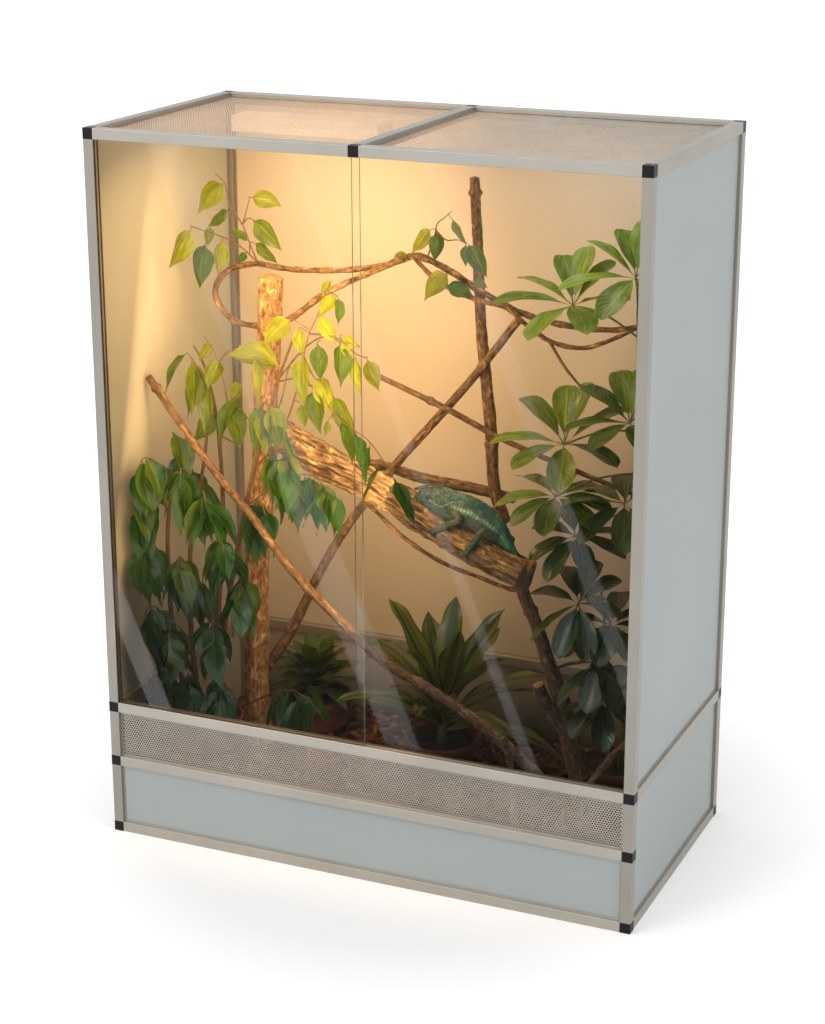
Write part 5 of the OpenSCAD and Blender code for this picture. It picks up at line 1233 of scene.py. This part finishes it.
class TERRARIUM_OT_umbrella(bpy.types.Operator):
    """Make the umbrella plant"""

    bl_idname = "terrarium.umbrella"
    bl_label = "Umbrella plant"

    def execute(self, context):
        looks = context.scene.terrarium_planting
        dark, fresh = np.array([0.014, 0.056, 0.012]), np.array([0.20, 0.36, 0.04])
        stems, leaves = Sculpt(), Sculpt()
        for stem in UMBRELLA_STEMS:
            limb(stems, stem, 1, 5, 14, stem_relief)
        for i, (x, y, z, tip, lift, size, stem, share) in enumerate(UMBRELLA_HUBS):
            b = np.array([x, y, z]) * MM
            a = along([q[:3] for q in UMBRELLA_STEMS[stem]], share * 0.999) * MM
            middle = (a + b) / 2 + [0, 0, 0.012]
            limb(stems, np.array([a, middle, b]) / MM, 4, 4, 8, stem_relief, seed=i)
            for k in range(LEAFLETS):
                l = looks.umbrella_leaf_length * size * (0.8 + 0.2 * scatter(i, k))
                h = 360 / LEAFLETS * k + 40 * scatter(i, 20)
                fall = 20 * scatter(k, i) - 10 - lift - tip * math.sin(math.radians(h))
                near = wall_fall(b, math.radians(h), l)
                fall = min(fall, -near) if fall < 0 else max(fall, near)
                # Painted light: leaflets higher up, nearer the lamp, take more of the fresh green;
                # the rest of the mix is at random.
                light = np.clip((z - 640) / 260, 0, 1)
                share = np.clip(0.8 * light + 0.6 * scatter(k, i + 5) - 0.3, 0, 1) ** 1.3
                tint = dark + (fresh - dark) * share
                leaf(leaves, b, h, fall, 24 * scatter(i, k + 9) - 12, l,
                     looks.umbrella_leaf_width * math.sqrt(size), UMBRELLA_OUTLINE, tint,
                     droop=0.14, arch=0.05, fold=0.12, ripple=0.02,
                     seed=scatter(i, k + 60), rows=16)
        stems.piece("umbrella_stalks", stem_finish("umbrella_stem", (0.07, 0.10, 0.03),
                                                   (0.22, 0.24, 0.08)),
                    "plant_stem", "umbrella_stems")
        leaves.piece("umbrella_foliage",
                     leaf_finish("umbrella_leaf", (2.6, 2.0, 2.4), 12.0, 0.26, 0.2),
                     "foliage", "umbrella_leaves")
        return {"FINISHED"}


class TERRARIUM_OT_rosettes(bpy.types.Operator):
    """Make the striped plant and the shade plant"""

    bl_idname = "terrarium.rosettes"
    bl_label = "Striped and shade plants"

    def rosette(self, name, finish, node, pot, top, base_z, count, spread, length, width, droops,
                rises, tints, ripple):
        plant = Sculpt()
        at = np.array([*POTS[pot], base_z]) * MM
        top = np.array(top) * MM
        stalk(plant, [at - [0, 0, 0.01], (at + top) / 2, top], 0.02, 0.014, 10,
              blade=(0.6, 0.5, 0), tint=(0.02, 0.02, 0.01))
        for i in range(count):
            share = i / (count - 1)
            h = i * GOLDEN_TURN
            b = at + (top - at) * (spread[0] + spread[1] * share)
            l = length * (0.8 + 0.2 * scatter(i, 5))
            rise = max(24 + rises * share, wall_fall(b, math.radians(h), l, 0.1))
            mix = np.clip(share * 0.7 + 0.4 * scatter(i, 31), 0, 1)
            tint = np.array(tints[0]) + (np.array(tints[1]) - tints[0]) * mix
            leaf(plant, b, h, -rise, 30 * scatter(i, 8) - 15, l, width, STRAP_OUTLINE, tint,
                 droop=droops[0] - droops[1] * share, fold=0.1, ripple=ripple,
                 seed=scatter(i, 70), rows=26, cols=8)
        plant.piece(name, finish, "foliage", node)

    def execute(self, context):
        looks = context.scene.terrarium_planting
        self.rosette("striped_rosette",
                     leaf_finish("striped_leaf", (1.6, 1.5, 1.2), 0.0, 0.3, 0.2, 0.75),
                     "striped_plant", STRIPED_POT, (40, 30, 241.85), 169.85, 20, (0.35, 0.65),
                     looks.strap_leaf_length, looks.strap_leaf_width, (0.5, 0.25), 50,
                     ((0.005, 0.022, 0.006), (0.010, 0.042, 0.008)), 0.07)
        pot = POTS[SHADE_POT]
        self.rosette("shade_rosette",
                     leaf_finish("shade_leaf", (1.8, 1.6, 1.3), 9.0, 0.32, 0.2),
                     "shade_plant", SHADE_POT, (pot[0], pot[1], 235.85), 169.85, 38, (0.2, 0.8),
                     0.145, 0.034, (0.55, 0.2), 44,
                     ((0.008, 0.030, 0.006), (0.06, 0.12, 0.012)), 0.05)
        return {"FINISHED"}


def lizard_paint(share, belly, place):
    """Colour of the skin: share along the body, belly 0 to 1 from belly to back."""
    spots = noise(place * 95, 31)
    fine = noise(place * 260, 32)
    base = np.array([0.055, 0.14, 0.12]) * (1 + 0.5 * fine)[:, None]
    olive = np.array([0.085, 0.10, 0.075]) * (1 + 0.3 * fine)[:, None]
    green = np.array([0.003, 0.04, 0.022]) * (1 + 0.4 * fine)[:, None]
    bright = np.array([0.03, 0.17, 0.045])
    rear = np.clip((share - 0.28) / 0.06, 0, 1) * np.clip((1.1 - share) / 0.2, 0, 1)
    upper = np.clip((belly - 0.42 + 0.06 * spots) / 0.1, 0, 1)
    colour = base + (olive - base) * ((1 - upper) * np.clip((share - 0.24) / 0.06, 0, 1))[:, None]
    mask = (rear * np.clip(upper + np.clip((share - 0.5) / 0.08, 0, 1), 0, 1))[:, None]
    colour = colour + (green - colour) * mask * 0.95
    colour = colour + (bright - colour) * mask * np.clip(spots * 2.6 - 0.2, 0, 0.9)[:, None]
    pale = np.clip(noise(place * 150, 36) * 2.4 - 0.6, 0, 0.7) * (1 - rear)
    colour = colour + (np.array([0.11, 0.17, 0.18]) - colour) * pale[:, None]
    head = np.clip((0.2 - share) / 0.05, 0, 1)[:, None]
    crown = np.array([0.09, 0.155, 0.15]) * (1 + 0.4 * fine)[:, None]
    colour = colour + (crown - colour) * head * 0.7
    beads = 0.6 + 0.4 * np.sin(share * 330)
    stripe = beads * np.exp(-((belly - 0.57 - 0.02 * spots) / 0.042) ** 2)
    stripe *= np.clip((share - 0.22) / 0.03, 0, 1) * np.clip((0.62 - share) / 0.14, 0, 1)
    return colour + (np.array([0.42, 0.70, 0.74]) - colour) * (stripe * 0.95)[:, None]


class TERRARIUM_OT_lizard(bpy.types.Operator):
    """Make the lizard on its log"""

    bl_idname = "terrarium.lizard"
    bl_label = "Lizard"

    def execute(self, context):
        body = Sculpt()
        line, at = even_run(smooth(LIZARD, 12), 2.0)
        centre = line[:, :3] * MM
        share = at / at[-1]
        _, u, v = carried_frames(centre)
        wide, high = (line[:, k] * LIZARD_TALL * MM / 2 for k in (3, 4))
        sides = 56
        a = 2 * np.pi * np.arange(sides) / sides
        belly = np.abs((a + np.pi) % (2 * np.pi) - np.pi) / np.pi
        ridge = 1 + 0.10 * np.exp(-((belly - 1) / 0.06) ** 2)
        rings = (centre[:, None] + (np.cos(a) * ridge)[None, :, None] * high[:, None, None]
                 * u[:, None] + (np.sin(a) * (1 - 0.18 * belly))[None, :, None]
                 * wide[:, None, None] * v[:, None])
        flat = rings.reshape(-1, 3)
        s = np.repeat(share, sides)
        rings = rings + (0.0006 * noise(flat * 160, 41)).reshape(len(at), sides)[..., None] * (
            np.cos(a)[None, :, None] * u[:, None] + np.sin(a)[None, :, None] * v[:, None])
        skin(body, rings, tint=lizard_paint(s, np.tile(belly, len(at)), flat))
        # Crest along the back
        for k in range(CREST_SPINES):
            i = int(len(at) * (0.2 + 0.45 * k / CREST_SPINES))
            root = centre[i] - u[i] * high[i] * 1.06
            size = 0.0030 * math.sin(math.pi * (k + 2) / 50) + 0.0008
            ahead = unit(centre[i + 1] - centre[i])
            body.add([root + ahead * size * 0.6, root + v[i] * size * 0.35,
                      root - ahead * size * 0.6, root - v[i] * size * 0.35,
                      root - u[i] * size + ahead * size * 0.2],
                     [np.array([[0, 1, 4], [1, 2, 4], [2, 3, 4], [3, 0, 4]]), [3, 2, 1, 0]],
                     tint=(0.02, 0.07, 0.06))
        # Casque over the back of the head
        eye = np.array(LIZARD_EYE) * MM
        for side in (-1, 1):
            stalk(body, [eye + [-0.030, side * 0.004, 0.008],
                         eye + [-0.012, side * 0.0085, 0.0135],
                         eye + [0.010, side * 0.0075, 0.0185], eye + [0.029, 0, 0.0205]],
                  0.0042, 0.0030, 8, tint=(0.085, 0.13, 0.13))
            stalk(body, np.array([[56, 0, 697], [67, 0, 690], [79, 0, 685], [90, 0, 691],
                                  [101, 0, 697], [110, 0, 698]]) * MM
                  + [0, -0.062 + side * 0.0133, 0], 0.0017, 0.0014, 8, tint=(0.36, 0.52, 0.5))
            t = 2 * np.pi * np.arange(24) / 24
            profile = [(0.0098, -0.004), (0.0094, 0.0), (0.0084, 0.0026), (0.0066, 0.0050),
                       (0.0046, 0.0066), (0.0026, 0.0075), (0.0022, 0.0072), (0.0009, 0.0074)]
            rings = np.array([[eye + [r * math.cos(x), side * (0.0085 + out),
                                      r * math.sin(x) * side] for x in t] for r, out in profile])
            tint = np.repeat([[0.06, 0.10, 0.10], [0.03, 0.065, 0.07], [0.08, 0.13, 0.13],
                              [0.035, 0.07, 0.075], [0.08, 0.13, 0.13], [0.04, 0.07, 0.07],
                              [0.01, 0.01, 0.01], [0.01, 0.01, 0.01]], 24, 0)
            skin(body, rings, tint=tint)
        for n, (hip, knee, foot) in enumerate(np.array(LIZARD_LEGS) * MM):
            line, run = even_run(smooth([hip, (hip + knee) / 2, knee, (knee + foot) / 2, foot], 6),
                                 0.002)
            _, lu, lv = carried_frames(line)
            r = np.interp(run / run[-1], [0, 0.2, 0.45, 0.55, 0.9, 1],
                          [0.0088, 0.0086, 0.007, 0.0072, 0.006, 0.006])
            t = 2 * np.pi * np.arange(16) / 16
            rings = line[:, None] + r[:, None, None] * (
                np.cos(t)[None, :, None] * lu[:, None] + np.sin(t)[None, :, None] * lv[:, None])
            green = np.array([0.05, 0.085, 0.045] if n % 2 else [0.075, 0.10, 0.06])
            shade = green * (1 + 0.35 * noise(rings.reshape(-1, 3) * 300, 33)[:, None])
            skin(body, rings, tint=shade)
            way = 1 if foot[1] > -0.06 else -1
            for dx, dz in LIZARD_TOES:
                tip = foot + [dx, -way * 0.004, dz]
                stalk(body, [foot, (foot + tip) / 2 + [0, way * 0.003, 0.001], tip], 0.0046,
                      0.0022, 8, tint=green * 1.2)
        body.piece("climbing_lizard", lizard_finish(), "lizard_skin", "lizard")
        return {"FINISHED"}


# Stage


def area_light(name, place, towards, size, power, colour=(1, 1, 1)):
    """A rectangular light that the camera doesn't see. The wide warm ones leave no reflection."""
    data = bpy.data.lights.new(name, "AREA")
    data.shape = "RECTANGLE"
    data.size, data.size_y = size
    data.energy = power
    data.color = colour
    light = bpy.data.objects.new(name, data)
    bpy.context.scene.collection.objects.link(light)
    light.location = place
    light.visible_camera = False
    light.visible_glossy = not name.startswith("warm_front")
    light.rotation_euler = (Vector(towards) - Vector(place)).to_track_quat("-Z", "Y").to_euler()


class TERRARIUM_OT_stage(bpy.types.Operator):
    """Make the camera, the floor, the surroundings and the lights"""

    bl_idname = "terrarium.stage"
    bl_label = "Stage"

    def execute(self, context):
        looks = context.scene.terrarium_stage
        scene = context.scene
        data = bpy.data.cameras.new("camera")
        data.lens, data.sensor_width = CAMERA_LENS, CAMERA_SENSOR
        camera = bpy.data.objects.new("camera", data)
        scene.collection.objects.link(camera)
        camera.location = CAMERA_PLACE
        camera.rotation_euler = [math.radians(x) for x in CAMERA_TURN]
        scene.camera = camera
        scene.view_settings.view_transform = "Standard"

        mesh = bpy.data.meshes.new("floor")
        mesh.from_pydata([(-30, -30, 0), (30, -30, 0), (30, 30, 0), (-30, 30, 0)], [],
                         [(0, 1, 2, 3)])
        floor = bpy.data.objects.new("floor", mesh)
        scene.collection.objects.link(floor)
        f = Finish("white_floor")
        ray = f.node("LightPath")
        seen = f.maths("MAXIMUM", f.maths("MAXIMUM", ray, ray.node.outputs["Is Glossy Ray"]),
                       ray.node.outputs["Is Transmission Ray"])
        plain = f.node("BsdfDiffuse", {0: (0.86, 0.86, 0.86)})
        # Painted shade: the floor's glow is weaker within about a metre of the middle, so the
        # floor round the cabinet is darker and its shadow shows.
        away = f.node("VectorMath", {0: f.place()}, out=1, operation="LENGTH")
        glow = f.node("Emission", {0: (1, 1, 1), 1: f.maths(
            "MULTIPLY", seen, f.steps(away, 0.5, 1.1, 0.25, 0.62))})
        f.feed(f.output.inputs[0], f.node("AddShader", {0: plain, 1: glow}))
        mesh.materials.append(f.material)

        world = bpy.data.worlds.new("white_surroundings")
        scene.world = world
        world.use_nodes = True
        tree = world.node_tree
        back = tree.nodes["Background"]
        ray = tree.nodes.new("ShaderNodeLightPath")
        most = tree.nodes.new("ShaderNodeMath")
        most.operation = "MAXIMUM"
        again = tree.nodes.new("ShaderNodeMath")
        again.operation = "MAXIMUM"
        level = tree.nodes.new("ShaderNodeMapRange")
        tree.links.new(ray.outputs["Is Camera Ray"], most.inputs[0])
        tree.links.new(ray.outputs["Is Glossy Ray"], most.inputs[1])
        tree.links.new(most.outputs[0], again.inputs[0])
        tree.links.new(ray.outputs["Is Transmission Ray"], again.inputs[1])
        tree.links.new(again.outputs[0], level.inputs[0])
        level.inputs["To Min"].default_value = looks.sky
        level.inputs["To Max"].default_value = 1.0
        back.inputs[0].default_value = (1, 1, 1, 1)
        tree.links.new(level.outputs[0], back.inputs[1])

        area_light("key", (-1.9, -3.0, 3.2), (0, 0, 0.6), (2.4, 2.0), looks.key_power)
        area_light("side", (3.4, -1.2, 2.2), (0, 0, 0.6), (1.8, 1.8), looks.key_power * 0.35)
        low = LAMP_LOW.z - 0.004
        middle = (LAMP_LOW + LAMP_HIGH) / 2
        area_light("warm_lamp", (middle.x, middle.y, low), (middle.x, middle.y - 0.02, 0),
                   (0.28, 0.055), looks.lamp_power * 0.06, looks.lamp_colour)
        area_light("warm_glow", (-0.26, -0.16, 1.32), (-0.20, 0.02, 0.3), (0.26, 0.12),
                   looks.lamp_power * 0.2, looks.lamp_colour)
        area_light("warm_front_left", (-0.10, -0.17, 0.86), (-0.51, 0.04, 0.80), (0.3, 0.8),
                   looks.lamp_power * 0.5, looks.lamp_colour)
        area_light("warm_front", (-0.15, -0.215, 0.80), (-0.12, 0.25, 0.68), (0.68, 0.84),
                   looks.lamp_power * 1.05, looks.lamp_colour)
        area_light("pale_glow", (0.27, 0.0, 1.345), (0.25, 0.02, 0), (0.3, 0.2), 0.5,
                   (1.0, 0.86, 0.68))
        return {"FINISHED"}


STEPS = (TERRARIUM_OT_stage, TERRARIUM_OT_cabinet, TERRARIUM_OT_sheets, TERRARIUM_OT_bark,
         TERRARIUM_OT_branches, TERRARIUM_OT_pots, TERRARIUM_OT_fig, TERRARIUM_OT_umbrella,
         TERRARIUM_OT_rosettes, TERRARIUM_OT_lizard)
LOOKS = (("terrarium_cabinet", CabinetLooks), ("terrarium_planting", PlantingLooks),
         ("terrarium_stage", StageLooks))


class TERRARIUM_PT_panel(bpy.types.Panel):
    """Lists the terrarium's steps and settings"""

    bl_idname = "TERRARIUM_PT_panel"
    bl_label = "Terrarium"
    bl_space_type = "VIEW_3D"
    bl_region_type = "UI"
    bl_category = "Terrarium"

    def draw(self, context):
        for step in STEPS:
            self.layout.operator(step.bl_idname)
        for name, group in LOOKS:
            box = self.layout.box()
            for setting in group.__annotations__:
                box.prop(getattr(context.scene, name), setting)


CLASSES = (*(group for _, group in LOOKS), *STEPS, TERRARIUM_PT_panel)


def register():
    """Add the classes and their settings."""
    for cls in CLASSES:
        bpy.utils.register_class(cls)
    for name, group in LOOKS:
        setattr(bpy.types.Scene, name, PointerProperty(type=group))


def unregister():
    """Take the settings and the classes away."""
    for name, _ in LOOKS:
        delattr(bpy.types.Scene, name)
    for cls in reversed(CLASSES):
        bpy.utils.unregister_class(cls)


def main():
    """Run every step in order."""
    register()
    for step in STEPS:
        group, name = step.bl_idname.split(".")
        getattr(getattr(bpy.ops, group), name)()
    bpy.context.view_layer.update()


if __name__ == "__main__":
    main()
